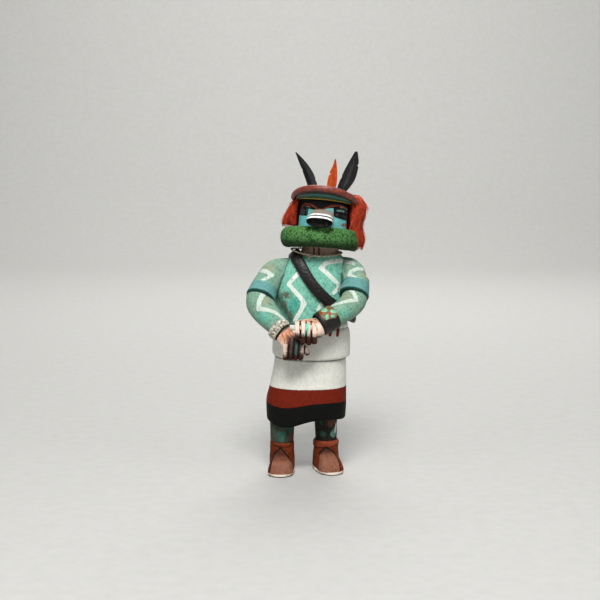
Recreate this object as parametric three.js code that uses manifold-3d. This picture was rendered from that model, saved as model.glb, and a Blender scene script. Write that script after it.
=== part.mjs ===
// A carved and painted wooden kachina doll, 274 mm tall with its feathers, standing on its own two feet.
// One carved figure carries what was made apart and added to it: the visor, the snout, the ruff, the hair,
// three feathers, the bandolier, the neck cord, the bow guard on one wrist and the band on the other.
// Millimetres, +Z up. The figure faces -Y; "forward" below is the distance towards the front.
// "left" and "right" are the doll's own: its right arm is on the -X side.

import * as THREE from "three";
import { mergeVertices } from "three/addons/utils/BufferGeometryUtils.js";
import Module from "manifold-3d";

const wasm = await Module();
wasm.setup();

// Driving dimensions
const HEM_HEIGHT = 46.5;
const SASH_LOW = 100.5;
const SASH_HIGH = 125.5;
const SHOULDER_HEIGHT = 172;
const NECK_HALF_WIDTH = 14.5;
const HEAD_RADIUS = 21.7;
const HEAD_BASE = { x: 14.2, forward: 0.5, z: 198.5 };
const HEAD_HEIGHT = 43;
const HEAD_ROLL = THREE.MathUtils.degToRad(5);
const HEAD_TURN = THREE.MathUtils.degToRad(8);
const GAP = 0.3;

// Paint and material colours
const COLOURS = {
  figure: 0x6fae9c,
  visor: 0x8e3423,
  snout: 0x141214,
  ruff: 0x2f6a33,
  hair: 0xa3301f,
  blackFeather: 0x2b2a2a,
  orangeFeather: 0xc85a1c,
  bandolier: 0x2c211f,
  cord: 0xb8a878,
  bowGuard: 0x35221c,
  wristBand: 0x9c968a,
};

const point = (x, forward, z) => new THREE.Vector3(x, -forward, z);
const UP = new THREE.Vector3(0, 0, 1);
const ACROSS = new THREE.Vector3(1, 0, 0);
const FORWARD = new THREE.Vector3(0, -1, 0);

// A closed solid skinned over rings of equal length; a looped one joins its last ring to its first.
function skin(rings, looped = false) {
  const count = rings[0].length;
  const positions = [];
  const indices = [];
  for (const ring of rings) for (const p of ring) positions.push(p.x, p.y, p.z);
  const steps = looped ? rings.length : rings.length - 1;
  for (let i = 0; i < steps; i++) {
    const next = (i + 1) % rings.length;
    for (let j = 0; j < count; j++) {
      const k = (j + 1) % count;
      indices.push(i * count + j, i * count + k, next * count + k);
      indices.push(i * count + j, next * count + k, next * count + j);
    }
  }
  if (!looped) {
    const last = rings.length - 1;
    for (const [a, b, c] of endFaces(rings[0])) indices.push(c, b, a);
    for (const face of endFaces(rings[last])) indices.push(...face.map((n) => last * count + n));
  }
  const geometry = new THREE.BufferGeometry();
  geometry.setAttribute("position", new THREE.Float32BufferAttribute(positions, 3));
  geometry.setIndex(indices);
  return solid(geometry);
}

// Triangles that fill a flat outline, by the numbers of its points.
function endFaces(outline) {
  const normal = new THREE.Vector3();
  const centre = new THREE.Vector3();
  outline.forEach((p, i) => {
    normal.add(p.clone().cross(outline[(i + 1) % outline.length]));
    centre.addScaledVector(p, 1 / outline.length);
  });
  normal.normalize();
  const u = outline[0].clone().sub(centre);
  u.addScaledVector(normal, -u.dot(normal)).normalize();
  const v = new THREE.Vector3().crossVectors(normal, u);
  const flat = outline.map((p) => {
    const from = p.clone().sub(centre);
    return new THREE.Vector2(from.dot(u), from.dot(v));
  });
  return THREE.ShapeUtils.triangulateShape(flat, []);
}

// A closed geometry as a solid, turned the right way out.
function solid(geometry) {
  const bare = geometry.clone();
  bare.deleteAttribute("normal");
  bare.deleteAttribute("uv");
  const merged = mergeVertices(bare, 1e-4);
  const vertProperties = new Float32Array(merged.attributes.position.array);
  const triVerts = new Uint32Array(merged.index.array);
  const made = new wasm.Manifold(new wasm.Mesh({ numProp: 3, vertProperties, triVerts }));
  if (made.volume() > 0) return made;
  for (let i = 0; i < triVerts.length; i += 3) {
    [triVerts[i + 1], triVerts[i + 2]] = [triVerts[i + 2], triVerts[i + 1]];
  }
  return new wasm.Manifold(new wasm.Mesh({ numProp: 3, vertProperties, triVerts }));
}

const joined = (solids) => solids.reduce((sum, next) => sum.add(next));

function geometryOf(manifold) {
  const { vertProperties, triVerts } = manifold.getMesh();
  const geometry = new THREE.BufferGeometry();
  geometry.setAttribute("position", new THREE.Float32BufferAttribute(vertProperties, 3));
  geometry.setIndex(new THREE.Uint32BufferAttribute(triVerts, 1));
  const flat = geometry.toNonIndexed();
  flat.computeVertexNormals();
  return flat;
}

// A rounded ring: power 2 is an ellipse, more is squarer. Angle 0 is at u, a quarter turn on is at v.
function ring(centre, u, v, halfU, halfV, count, power = 2) {
  const points = [];
  for (let i = 0; i < count; i++) {
    const angle = (2 * Math.PI * i) / count;
    const c = Math.cos(angle);
    const s = Math.sin(angle);
    const a = halfU * Math.sign(c) * Math.abs(c) ** (2 / power);
    const b = halfV * Math.sign(s) * Math.abs(s) ** (2 / power);
    points.push(centre.clone().addScaledVector(u, a).addScaledVector(v, b));
  }
  return points;
}

const blend = (a, b, t) => a + (b - a) * t;

// Level sections of the trunk: height, middle (x, forward) and half sizes. Between them it runs on smoothly.
const TORSO = [
  { z: 121, x: 6.0, forward: 0, half: 29.0, deep: 21.0 },
  { z: 133, x: 6.0, forward: 0, half: 29.2, deep: 20.6 },
  { z: 146, x: 4.4, forward: 0, half: 30.2, deep: 20.2 },
  { z: 159, x: 4.2, forward: 0, half: 29.2, deep: 19.8 },
  { z: 169, x: 5.8, forward: 0, half: 27.8, deep: 19.0 },
  { z: 177, x: 7.8, forward: 0, half: 27.2, deep: 17.6 },
  { z: 182.5, x: 9.6, forward: 0, half: 24.2, deep: 15.8 },
  { z: 187, x: 11.3, forward: 0, half: 19.4, deep: 14.2 },
  { z: 191, x: 12.6, forward: 0, half: 15.8, deep: 13.0 },
  { z: 201, x: 14.2, forward: 0.5, half: NECK_HALF_WIDTH, deep: 12.6 },
];

// The torso's section at a height, worked out between the stations by a smooth curve.
function torsoAt(z) {
  const last = TORSO.length - 1;
  let i = 0;
  while (i < last - 1 && TORSO[i + 1].z < z) i++;
  const t = THREE.MathUtils.clamp((z - TORSO[i].z) / (TORSO[i + 1].z - TORSO[i].z), 0, 1);
  const at = { z };
  for (const key of ["x", "forward", "half", "deep"]) {
    const around = [-1, 0, 1, 2].map((n) => TORSO[THREE.MathUtils.clamp(i + n, 0, last)][key]);
    at[key] = catmull(around, t);
  }
  return at;
}

// Catmull-Rom through four values, at t between the middle two.
function catmull([a, b, c, d], t) {
  const slopeIn = (c - a) / 2;
  const slopeOut = (d - b) / 2;
  const t2 = t * t;
  const t3 = t2 * t;
  const ends = (2 * t3 - 3 * t2 + 1) * b + (3 * t2 - 2 * t3) * c;
  return ends + (t3 - 2 * t2 + t) * slopeIn + (t3 - t2) * slopeOut;
}

const TRUNK_SIDES = 24;
const TRUNK_POWER = 2.25;

function levelRing({ z, x, forward = 0, half, deep }, extra = 0, power = TRUNK_POWER) {
  return ring(point(x, forward, z), ACROSS, FORWARD, half + extra, deep + extra, TRUNK_SIDES, power);
}

function torso(extra = 0) {
  const heights = [122, 135, 146, 156, 165, 172, 177.5, 181.5, 184.8, 188, 192, 201];
  return skin(heights.map((z) => levelRing(torsoAt(z), extra)));
}

// The kilt: a wrapped skirt that widens to the hem. Its hem dips over the right leg, and it is cut in
// underneath, so that the legs come out of a shallow hollow.
const KILT = [
  { z: 56, x: 1.0, half: 34.3, deep: 26.4 },
  { z: 64, x: 1.2, half: 34.3, deep: 26.4 },
  { z: 74, x: 2.4, half: 33.0, deep: 25.6 },
  { z: 85, x: 3.5, half: 31.7, deep: 24.8 },
  { z: 96, x: 4.4, half: 30.7, deep: 24.0 },
  { z: 110, x: 5.0, half: 30.4, deep: 23.6 },
];
const HEM_INSET = 5;
const HEM_HOLLOW = 5;

// How far the hem hangs below its mean height at a bearing: 0 is straight forward, positive to +X.
function hemDip(bearing) {
  const rightLobe = 4.6 * Math.exp(-(((bearing + 0.72) / 0.55) ** 2));
  const leftRise = -2.4 * Math.exp(-(((bearing - 0.55) / 0.6) ** 2));
  return rightLobe + leftRise;
}

const HEM = { x: 0.9, half: 33.8, deep: 25.9 };
const HEM_BLEND = 12;

function hemRing(inset, lift) {
  return levelRing({ ...HEM, z: 0 }, -inset).map((p) => {
    const bearing = Math.atan2(p.x - HEM.x, -p.y);
    return p.setZ(HEM_HEIGHT + lift - hemDip(bearing) * (1 - lift / HEM_BLEND));
  });
}

function kilt() {
  return skin([
    hemRing(HEM_INSET + 1, HEM_HOLLOW),
    hemRing(HEM_INSET, 1),
    hemRing(1.2, 0),
    hemRing(0, 1.2),
    ...KILT.map((section) => levelRing(section)),
  ]);
}

// The wide sash, a raised band rolled in at both edges, and the kilt's top edge above it.
function sash() {
  const low = (p) => p.setZ(p.z + 1.1 * Math.max(0, -(p.x - 5.3) / 33));
  const band = [
    levelRing({ z: SASH_LOW, x: 5.3, half: 31.2, deep: 24.6 }).map(low),
    levelRing({ z: SASH_LOW + 0.8, x: 5.3, half: 32.8, deep: 26.0 }).map(low),
    levelRing({ z: SASH_LOW + 4, x: 5.3, half: 33.3, deep: 26.4 }).map(low),
    levelRing({ z: 113, x: 5.4, half: 33.2, deep: 26.1 }),
    levelRing({ z: 121.5, x: 5.5, half: 32.8, deep: 25.4 }),
    levelRing({ z: 124.4, x: 5.6, half: 31.8, deep: 24.4 }),
    levelRing({ z: SASH_HIGH, x: 5.7, half: 30.2, deep: 22.8 }),
  ];
  const topEdge = [
    levelRing({ z: 123, x: 6.0, half: 30.4, deep: 22.8 }),
    levelRing({ z: 128.2, x: 6.2, half: 30.3, deep: 22.5 }),
    levelRing({ z: 129.4, x: 6.2, half: 29.2, deep: 21.4 }),
  ];
  return skin(band).add(skin(topEdge));
}

// The head's own frame: rolled towards +X and turned a little to -X, its height along the axis.
const headUp = UP.clone().applyAxisAngle(new THREE.Vector3(0, -1, 0), -HEAD_ROLL);
const headForward = FORWARD.clone().applyAxisAngle(UP, -HEAD_TURN);
headForward.addScaledVector(headUp, -headForward.dot(headUp)).normalize();
const headAcross = new THREE.Vector3().crossVectors(headUp, headForward).normalize();
const headBase = point(HEAD_BASE.x, HEAD_BASE.forward, HEAD_BASE.z);

function headPoint(across, forward, height) {
  return headBase
    .clone()
    .addScaledVector(headAcross, across)
    .addScaledVector(headForward, forward)
    .addScaledVector(headUp, height);
}

// The case mask: a drum with a softened crown.
const HEAD_PROFILE = [
  [0, -1.6],
  [2.5, -0.4],
  [10, 0],
  [22, 0.1],
  [33, 0],
  [37.5, -0.9],
  [40.6, -3.2],
  [42.3, -6.8],
  [HEAD_HEIGHT, -13],
];

function head(extra = 0) {
  return skin(
    HEAD_PROFILE.map(([height, change], i) => {
      const lift = i === 0 ? -extra : i === HEAD_PROFILE.length - 1 ? extra : 0;
      const radius = HEAD_RADIUS + change + extra;
      return ring(headPoint(0, 0, height + lift), headAcross, headForward, radius, radius, 24);
    }),
  );
}

// A limb: rings square to a smooth path through stations [x, forward, z, radius, flatness].
function limb(stations, sides, steps, extra = 0) {
  const last = stations.length - 1;
  const at = (t, n) => {
    const i = Math.min(Math.floor(t), last - 1);
    const around = [-1, 0, 1, 2].map((k) => stations[THREE.MathUtils.clamp(i + k, 0, last)][n] ?? 1);
    return catmull(around, t - i);
  };
  const rings = [];
  let side = null;
  for (let i = 0; i <= steps; i++) {
    const t = (last * i) / steps;
    const here = point(at(t, 0), at(t, 1), at(t, 2));
    const before = Math.max(t - 0.05, 0);
    const after = Math.min(t + 0.05, last);
    const along = point(at(after, 0), at(after, 1), at(after, 2));
    along.sub(point(at(before, 0), at(before, 1), at(before, 2))).normalize();
    if (!side) side = Math.abs(along.dot(ACROSS)) < 0.9 ? ACROSS.clone() : UP.clone();
    side.addScaledVector(along, -side.dot(along)).normalize();
    const other = new THREE.Vector3().crossVectors(along, side);
    const radius = at(t, 3) + extra;
    rings.push(ring(here, side, other, radius, radius * at(t, 4), sides));
  }
  return skin(rings);
}

// Arms, from inside the shoulder over the elbow to the wrist. Both hands meet in front of the sash.
const RIGHT_ARM = [
  [-8, -1, 174, 10],
  [-24, 0, SHOULDER_HEIGHT - 0.5, 11.8],
  [-31.8, 5, 163.2, 11.5],
  [-36.6, 11, 155.6, 11.5],
  [-38, 17, 148.2, 11.4],
  [-33.8, 23, 142.2, 11.2],
  [-27.4, 28.5, 135.4, 9.8],
  [-20, 33, 128, 7.9],
  [-17.6, 34.4, 125.8, 7.2],
];
const LEFT_ARM = [
  [24, -1, 175, 10],
  [37.2, 0, SHOULDER_HEIGHT + 0.5, 11.8],
  [41.6, 5, 164.2, 11.2],
  [42, 11, 157, 10.9],
  [40.6, 17, 150.2, 10.7],
  [35, 23, 144.8, 10.1],
  [25, 29.5, 139.4, 8.9],
  [13.5, 35, 133.6, 7.6],
  [10.5, 36.5, 132.2, 7.0],
];

const arm = (stations, extra = 0) => limb(stations, 12, 12, extra);

// A raised band round the upper arm, standing proud of the elbow like the end of a sleeve.
function armBand(high, low) {
  const from = point(...high);
  const to = point(...low);
  const along = to.clone().sub(from).normalize();
  const side = ACROSS.clone().addScaledVector(along, -ACROSS.dot(along)).normalize();
  const other = new THREE.Vector3().crossVectors(along, side);
  const rows = [
    [0, 10.2],
    [0.6, 12],
    [0.95, 12.7],
    [1, 11.7],
  ];
  return skin(
    rows.map(([t, radius]) => ring(from.clone().lerp(to, t), side, other, radius, radius, 14)),
  );
}

// A finger, bent once, from its knuckle to a rounded tip.
function finger(knuckle, bend, tip, radius) {
  const along = tip.map((v, i) => v - bend[i]);
  const length = Math.hypot(...along);
  const past = tip.map((v, i) => v + (along[i] / length) * radius * 0.6);
  const stations = [
    [...knuckle, radius],
    [...bend, radius * 1.04],
    [...tip, radius * 0.95],
    [...past, radius * 0.45],
  ];
  return limb(stations, 6, 4);
}

const FINGER_RADIUS = 2.45;

// The right hand hangs from the wrist, its fingers pointing down beside the thumb.
function rightHand(extra = 0) {
  const palm = limb(
    [
      [-19.2, 33.6, 126.6, 7, 0.85],
      [-15.6, 36.2, 122.2, 7.8, 0.68],
      [-11, 37.8, 116.4, 7.6, 0.5],
      [-10.4, 37.8, 113.6, 6.6, 0.46],
    ],
    10,
    4,
    extra,
  );
  const fingers = [0, 1, 2, 3].map((n) => {
    const x = -16 + n * 4.15;
    return finger([x + 0.8, 38.6, 119.4 - n * 0.3], [x, 40.2, 111.6], [x - 0.3, 37.8, 104.8], FINGER_RADIUS);
  });
  const thumb = finger([-6, 36, 118.6], [-0.4, 37.4, 113.4], [1.9, 37.2, 108.6], 2.3);
  return joined([palm, ...fingers, thumb]);
}

// The left hand lies over it: a broad back, and four fingers that drop in front of the right hand.
function leftHand(extra = 0) {
  const palm = limb(
    [
      [13, 35.4, 131.6, 7.4, 0.95],
      [8.6, 37.4, 130, 9, 0.8],
      [2, 39.4, 130.4, 9, 0.66],
      [-4.4, 40.2, 131.2, 7.6, 0.6],
      [-8, 40.4, 131, 4.8, 0.6],
    ],
    10,
    5,
    extra,
  );
  const drops = [123.4, 119.6, 118.4, 119.2];
  const fingers = drops.map((low, n) => {
    const x = -6.4 + n * 4.5;
    return finger([x, 40.6, 134.2 - n * 0.2], [x + 0.2, 44.6, 128], [x + 0.4, 43.6, low], FINGER_RADIUS);
  });
  return joined([palm, ...fingers]);
}

// Legs, from inside the kilt to inside the moccasins. The right foot stands a little further forward.
const LEGS = {
  right: { x: -19.7, forward: 4.5, radius: 10.1, turn: -0.09 },
  left: { x: 18.2, forward: -1.5, radius: 9.3, turn: 0.3 },
};

function leg({ x, forward, radius }) {
  const stations = [
    [x, forward, 14, radius],
    [x, forward, 30, radius],
    [x * 0.97, forward * 0.9, 60, radius + 1.2],
  ];
  return limb(stations, 14, 2);
}

// A moccasin: heel and ankle in one upright form, the rounded vamp in front of it, and a flat rawhide sole.
const SOLE = { thickness: 2.2, middle: 3.4, halfLong: 20, halfWide: 11.2 };
const VAMP_SIDES = 12;
const SOLE_SIDES = 20;

function moccasin({ x, forward, turn }) {
  const toe = FORWARD.clone().applyAxisAngle(UP, turn);
  const wide = new THREE.Vector3().crossVectors(toe, UP).normalize();
  const at = (across, ahead, z) =>
    point(x, forward, z).addScaledVector(wide, across).addScaledVector(toe, ahead);
  return joined([quarter(at, wide, toe), vamp(at), sole(at)]);
}

// Rows of the heel and ankle: [ahead of the ankle, height, half width, half length, squareness].
function quarter(at, wide, toe) {
  const rows = [
    [-1.2, 1, 10.4, 15, 2.4],
    [-0.6, 13, 10.5, 13.2, 2.2],
    [-0.2, 19, 10.1, 11.4, 2.2],
    [0, 25.6, 10.4, 10.9, 2.2],
    [0, 26.4, 9.6, 10.2, 2.2],
  ];
  return skin(
    rows.map(([ahead, z, halfWide, halfLong, power]) =>
      ring(at(0, ahead, z), wide, toe, halfWide, halfLong, 14, power)),
  );
}

// Arches from the instep to the toe: [ahead of the ankle, half width, height].
function vamp(at) {
  const rows = [
    [2, 10, 20.6],
    [9, 10.6, 18.6],
    [14, 10.8, 15],
    [18, 10.2, 11],
    [20.6, 8.2, 8],
    [22, 5.6, 5.4],
    [22.6, 2.8, 3.4],
  ];
  const foot = SOLE.thickness - 0.2;
  const arch = ([ahead, halfWide, height]) => {
    const points = [];
    for (let i = 0; i < VAMP_SIDES; i++) {
      const angle = (2 * Math.PI * i) / VAMP_SIDES;
      const c = Math.cos(angle);
      const s = Math.sin(angle);
      const across = halfWide * Math.sign(c) * Math.abs(c) ** 0.8;
      points.push(at(across, ahead, s > 0 ? foot + (height - foot) * s ** 1.15 : foot + s * 1.2));
    }
    return points;
  };
  return skin(rows.map(arch));
}

function sole(at) {
  const outline = (z, extra) => {
    const points = [];
    for (let i = 0; i < SOLE_SIDES; i++) {
      const angle = (2 * Math.PI * i) / SOLE_SIDES;
      const c = Math.cos(angle);
      const s = Math.sin(angle);
      const heelTaper = 1 - 0.1 * Math.max(0, -c);
      const across = Math.sign(s) * Math.abs(s) ** 0.75 * (SOLE.halfWide + extra) * heelTaper;
      points.push(at(across, SOLE.middle + c * (SOLE.halfLong + extra), z));
    }
    return points;
  };
  return skin([
    outline(0, -0.5),
    outline(0.6, 0),
    outline(SOLE.thickness, 0),
    outline(SOLE.thickness + 0.3, -0.6),
  ]);
}

// The carved figure, all one piece of wood.
function figure() {
  return joined([
    torso(),
    kilt(),
    sash(),
    head(),
    arm(RIGHT_ARM),
    arm(LEFT_ARM),
    armBand([-32.6, 5, 163.8], [-37.6, 15.5, 152]),
    armBand([44.4, 4.2, 166.8], [40.8, 15, 154]),
    rightHand(),
    leftHand(),
    ...Object.values(LEGS).flatMap((side) => [leg(side), moccasin(side)]),
  ]);
}

// The visor: a turned-up peak, widest in front and narrowing to the temples, with a thick rolled rim.
const VISOR_HEIGHT = 33.4;
const VISOR_SPREAD = 1.62;
const RIM_RADIUS = 2.1;

function visorEdge(bearing, share) {
  const c = Math.cos(bearing);
  const s = Math.sin(bearing);
  const inner = { radius: HEAD_RADIUS + 0.5, rise: 3.3 * c };
  const outer = { across: 26.6, ahead: 31, rise: 12.6 * c };
  const across = blend(inner.radius, outer.across, share) * s;
  const ahead = blend(inner.radius, outer.ahead, share) * c;
  return headPoint(across, ahead, VISOR_HEIGHT + blend(inner.rise, outer.rise, share));
}

function visor(extra = 0) {
  const steps = 18;
  const spread = VISOR_SPREAD + extra / HEAD_RADIUS;
  const half = 0.9 + extra;
  const slices = [];
  for (let i = 0; i <= steps; i++) {
    const bearing = blend(-spread, spread, i / steps);
    const inner = visorEdge(bearing, 0);
    const edge = visorEdge(bearing, 1);
    const along = visorEdge(bearing + 0.02, 1).sub(visorEdge(bearing - 0.02, 1)).normalize();
    const out = edge.clone().sub(inner);
    out.addScaledVector(along, -out.dot(along)).normalize();
    inner.addScaledVector(out, -extra);
    const over = new THREE.Vector3().crossVectors(out, along).normalize();
    const end = Math.min(i, steps - i);
    const radius = RIM_RADIUS * (end === 0 ? 0.6 : 1) + extra;
    const rim = [125, 80, 30, -30, -80, -125].map((degrees) => {
      const turn = THREE.MathUtils.degToRad(degrees);
      const p = edge.clone().addScaledVector(out, radius * Math.cos(turn));
      return p.addScaledVector(over, radius * Math.sin(turn));
    });
    const innerEdges = [half, -half].map((side) => inner.clone().addScaledVector(over, side));
    slices.push([innerEdges[0], ...rim, innerEdges[1]]);
  }
  return skin(slices);
}

// The snout: a broad, flat muzzle that droops from the middle of the mask, with a dished end.
const SNOUT_HEIGHT = 26.3;
const SNOUT_ROOT = 12;
const SNOUT_DROOP = THREE.MathUtils.degToRad(17);
const SNOUT_REACH = 38.5;

function snout() {
  const out = headForward.clone().applyAxisAngle(headAcross, SNOUT_DROOP);
  const over = headUp.clone().applyAxisAngle(headAcross, SNOUT_DROOP);
  const section = (reach, halfWide, halfHigh) => {
    const centre = headPoint(0.6, SNOUT_ROOT, SNOUT_HEIGHT).addScaledVector(out, reach - SNOUT_ROOT);
    return ring(centre, headAcross, over, halfWide, halfHigh, 16, 2.3);
  };
  return skin([
    section(14, 9.4, 4.6),
    section(27, 9.9, 4.7),
    section(SNOUT_REACH - 1, 10.8, 4.7),
    section(SNOUT_REACH, 10.4, 4.3),
    section(SNOUT_REACH, 9.2, 3.2),
    section(SNOUT_REACH - 1.6, 8.6, 2.7),
  ]).subtract(head(GAP));
}

// The ruff: a fat ring round the foot of the mask, tipped up in front. Its hole is centred on the mask, its
// outside a little to the right.
const RUFF = { hole: 22.4, holeX: 14.8, outside: 33.1, outsideX: 12.2, forward: 0.5, z: 200.2, high: 8.6 };
const RUFF_TILT = { front: 4.4, back: 1.8, roll: 1.9 };

function ruff(extra = 0) {
  const steps = 26;
  const rings = [];
  for (let i = 0; i < steps; i++) {
    const bearing = (2 * Math.PI * i) / steps;
    const out = new THREE.Vector3(Math.sin(bearing), -Math.cos(bearing), 0);
    const tilt = Math.cos(bearing) > 0 ? RUFF_TILT.front : RUFF_TILT.back;
    const z = RUFF.z + tilt * Math.cos(bearing) - RUFF_TILT.roll * Math.sin(bearing);
    const inside = point(RUFF.holeX, RUFF.forward, z).addScaledVector(out, RUFF.hole - extra);
    const outside = point(RUFF.outsideX, RUFF.forward, z).addScaledVector(out, RUFF.outside + extra);
    const thick = outside.distanceTo(inside) / 2;
    rings.push(ring(inside.lerp(outside, 0.5), out, UP, thick, RUFF.high + extra, 10, 2.2));
  }
  return skin(rings, true);
}

// The hair: a mass of dyed red hair from temple to temple round the back of the mask, flaring over the ruff.
// Rows run from the ends to the crown: [share of the height, reach at the right, behind and at the left].
const HAIR = [
  [0, 36.4, 34.4, 34.8],
  [0.18, 35, 35.4, 35],
  [0.4, 31.6, 34, 31.8],
  [0.62, 28, 31.6, 33.4],
  [0.82, 23.6, 28.8, 34],
  [1, 21.4, 24, 28.6],
];
const HAIR_ENDS = { right: 11.2, behind: -6, left: -4 };
const HAIR_TOP = 41;
const HAIR_START = 1.28;

function hair() {
  const steps = 16;
  const slices = [];
  for (let i = 0; i <= steps; i++) {
    const bearing = blend(HAIR_START, 2 * Math.PI - HAIR_START, i / steps);
    const s = Math.sin(bearing);
    const c = Math.cos(bearing);
    const side = s > 0 ? "left" : "right";
    const sideways = THREE.MathUtils.smoothstep(Math.abs(s), 0.2, 0.95);
    const low = blend(HAIR_ENDS.behind, HAIR_ENDS[side], sideways);
    const fullness = Math.min(1, 0.45 + Math.min(i, steps - i) * 0.28);
    const outer = [];
    const inner = [];
    for (const [share, right, behind, left] of HAIR) {
      const height = blend(low, HAIR_TOP, share);
      const reach = blend(behind, side === "left" ? left : right, sideways);
      const close = HEAD_RADIUS + 0.8 - (2.4 * Math.max(0, share - 0.82)) / 0.18;
      const within = height > 12 ? close : reach - 4;
      const out = Math.max(HEAD_RADIUS + (reach - HEAD_RADIUS) * fullness, within + 1.4);
      outer.push(headPoint(out * s, out * c, height));
      inner.unshift(headPoint(within * s, within * c, height));
    }
    slices.push([...outer, ...inner]);
  }
  return skin(slices).subtract(visor(GAP)).subtract(ruff(GAP));
}

// A feather: a thin leaf, cupped along its spine, on a short quill.
// Stations hold [x, forward, z, half width], from the crown of the mask to the tip.
const FEATHER_FRONT = [[-1, 0.35], [-0.45, 0.85], [0, 1.15], [0.45, 0.85], [1, 0.35]];
const FEATHER_BACK = [[0.4, -0.7], [-0.4, -0.7]];

function feather(stations, facing, cup) {
  const last = stations.length - 1;
  const steps = 9;
  const wide = new THREE.Vector3(Math.cos(facing), Math.sin(facing), 0);
  const face = new THREE.Vector3(Math.sin(facing), -Math.cos(facing), 0);
  const rings = [];
  for (let i = 0; i <= steps; i++) {
    const t = (last * i) / steps;
    const j = Math.min(Math.floor(t), last - 1);
    const [x, forward, z, width] = [0, 1, 2, 3].map((n) => {
      const around = [-1, 0, 1, 2].map((k) => stations[THREE.MathUtils.clamp(j + k, 0, last)][n]);
      return catmull(around, t - j);
    });
    const half = Math.max(width, 0.5);
    rings.push(
      [...FEATHER_FRONT, ...FEATHER_BACK].map(([across, thick]) =>
        point(x, forward, z)
          .addScaledVector(wide, across * half)
          .addScaledVector(face, thick + cup * across * across * half)),
    );
  }
  return skin(rings).subtract(head(GAP));
}

const RIGHT_FEATHER = [
  [7, -2, 238, 1.3],
  [6.2, -2, 243, 3.9],
  [4.6, -3, 250, 4.6],
  [1.6, -4, 258, 3.9],
  [-2.4, -5, 265.4, 2.4],
  [-6.4, -6, 272, 0.5],
];
const LEFT_FEATHER = [
  [28.6, -2, 236, 1.3],
  [31.8, -2, 242.4, 4.8],
  [35.8, -3, 250, 6.2],
  [39, -4, 258.4, 5.6],
  [41.4, -5, 266, 3.9],
  [43.2, -6, 273.8, 1.1],
];
const ORANGE_FEATHER = [
  [21, 3, 238, 1.2],
  [21.8, 3, 243, 3.6],
  [22.8, 2.6, 250, 3.9],
  [23.8, 2.2, 257, 3.1],
  [24.8, 2, 262, 1.7],
  [25.4, 2, 267.6, 0.5],
];

// The bandolier: a thick strap over the right shoulder, across the chest, round the left hip and up the
// back. Stations hold [bearing in degrees, height, stand-off]; bearing 0 is straight forward, 90 is +X.
const BANDOLIER = [
  [-90, 187.6, 0.3],
  [-66, 185.6, 0.2],
  [-40, 180, 0.1],
  [-19, 172.4, 0],
  [1, 165, 0],
  [24, 156.4, 0],
  [48, 146.6, 0],
  [70, 138.4, 1.4],
  [90, 133.6, 4.6],
  [114, 136, 2.2],
  [138, 143.6, 0],
  [160, 154, 0],
  [184, 165, 0],
  [208, 174.6, 0],
  [238, 182.6, 0.1],
];
const STRAP_WIDTH = 9.4;
const STRAP_THICKNESS = 3.4;
const STRAP_STANDOFF = 0.6;
// Points round the strap's section, flat beneath and rounded above: [across, thickness], as shares.
const STRAP_SECTION = [[-0.5, 0], [0, 0], [0.5, 0], [0.5, 0.45], [0.26, 0.92], [-0.26, 0.92], [-0.5, 0.45]];

// The trunk's surface at a bearing and height, and the point that stands off it along its normal.
function torsoSurface(bearing, z) {
  const { x, forward, half, deep } = torsoAt(z);
  const c = Math.cos(bearing);
  const s = Math.sin(bearing);
  const across = Math.abs(s / half) ** TRUNK_POWER;
  const along = Math.abs(c / deep) ** TRUNK_POWER;
  const reach = (across + along) ** (-1 / TRUNK_POWER);
  return point(x + s * reach, forward + c * reach, z);
}

function torsoNormal(bearing, z) {
  const round = torsoSurface(bearing + 0.02, z).sub(torsoSurface(bearing - 0.02, z));
  const upward = torsoSurface(bearing, z + 0.5).sub(torsoSurface(bearing, z - 0.5));
  return round.cross(upward).normalize();
}

function offTorso(p, out) {
  const { x, forward } = torsoAt(p.z);
  const bearing = Math.atan2(p.x - x, -p.y - forward);
  return torsoSurface(bearing, p.z).addScaledVector(torsoNormal(bearing, p.z), out);
}

function strapAt(t) {
  const count = BANDOLIER.length;
  const i = Math.floor(t);
  const [degrees, z, out] = [0, 1, 2].map((n) => {
    const around = [-1, 0, 1, 2].map((k) => {
      const turns = Math.floor((i + k) / count);
      return BANDOLIER[(((i + k) % count) + count) % count][n] + (n === 0 ? turns * 360 : 0);
    });
    return catmull(around, t - i);
  });
  const bearing = THREE.MathUtils.degToRad(degrees);
  return { p: torsoSurface(bearing, z), normal: torsoNormal(bearing, z), out };
}

function bandolier() {
  const steps = 32;
  const rings = [];
  for (let i = 0; i < steps; i++) {
    const t = (BANDOLIER.length * i) / steps;
    const { p, normal, out } = strapAt(t);
    const along = strapAt(t + 0.1).p.sub(strapAt(t + BANDOLIER.length - 0.1).p).normalize();
    const wide = new THREE.Vector3().crossVectors(along, normal).normalize();
    rings.push(
      STRAP_SECTION.map(([across, thick]) => {
        const under = p.clone().addScaledVector(wide, across * STRAP_WIDTH);
        return offTorso(under, STRAP_STANDOFF + out + thick * STRAP_THICKNESS);
      }),
    );
  }
  return skin(rings, true).subtract(arm(RIGHT_ARM, GAP)).subtract(arm(LEFT_ARM, GAP));
}

// The neck cord: one turn of thin cord lying on the shoulders under the ruff.
const CORD_RADIUS = 0.8;

function neckCord(extra = 0) {
  const steps = 24;
  const rings = [];
  for (let i = 0; i < steps; i++) {
    const bearing = (2 * Math.PI * i) / steps;
    const out = new THREE.Vector3(Math.sin(bearing), -Math.cos(bearing), 0);
    const sag = 2.6 * Math.max(0, Math.cos(bearing)) ** 2;
    const z = 190.4 - 1.6 * Math.sin(bearing) - sag;
    const centre = point(9.6 + 21.4 * Math.sin(bearing), 0.5 + 17.4 * Math.cos(bearing), z);
    rings.push(ring(centre, out, UP, CORD_RADIUS + extra, CORD_RADIUS + extra, 6));
  }
  return skin(rings, true);
}

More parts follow.
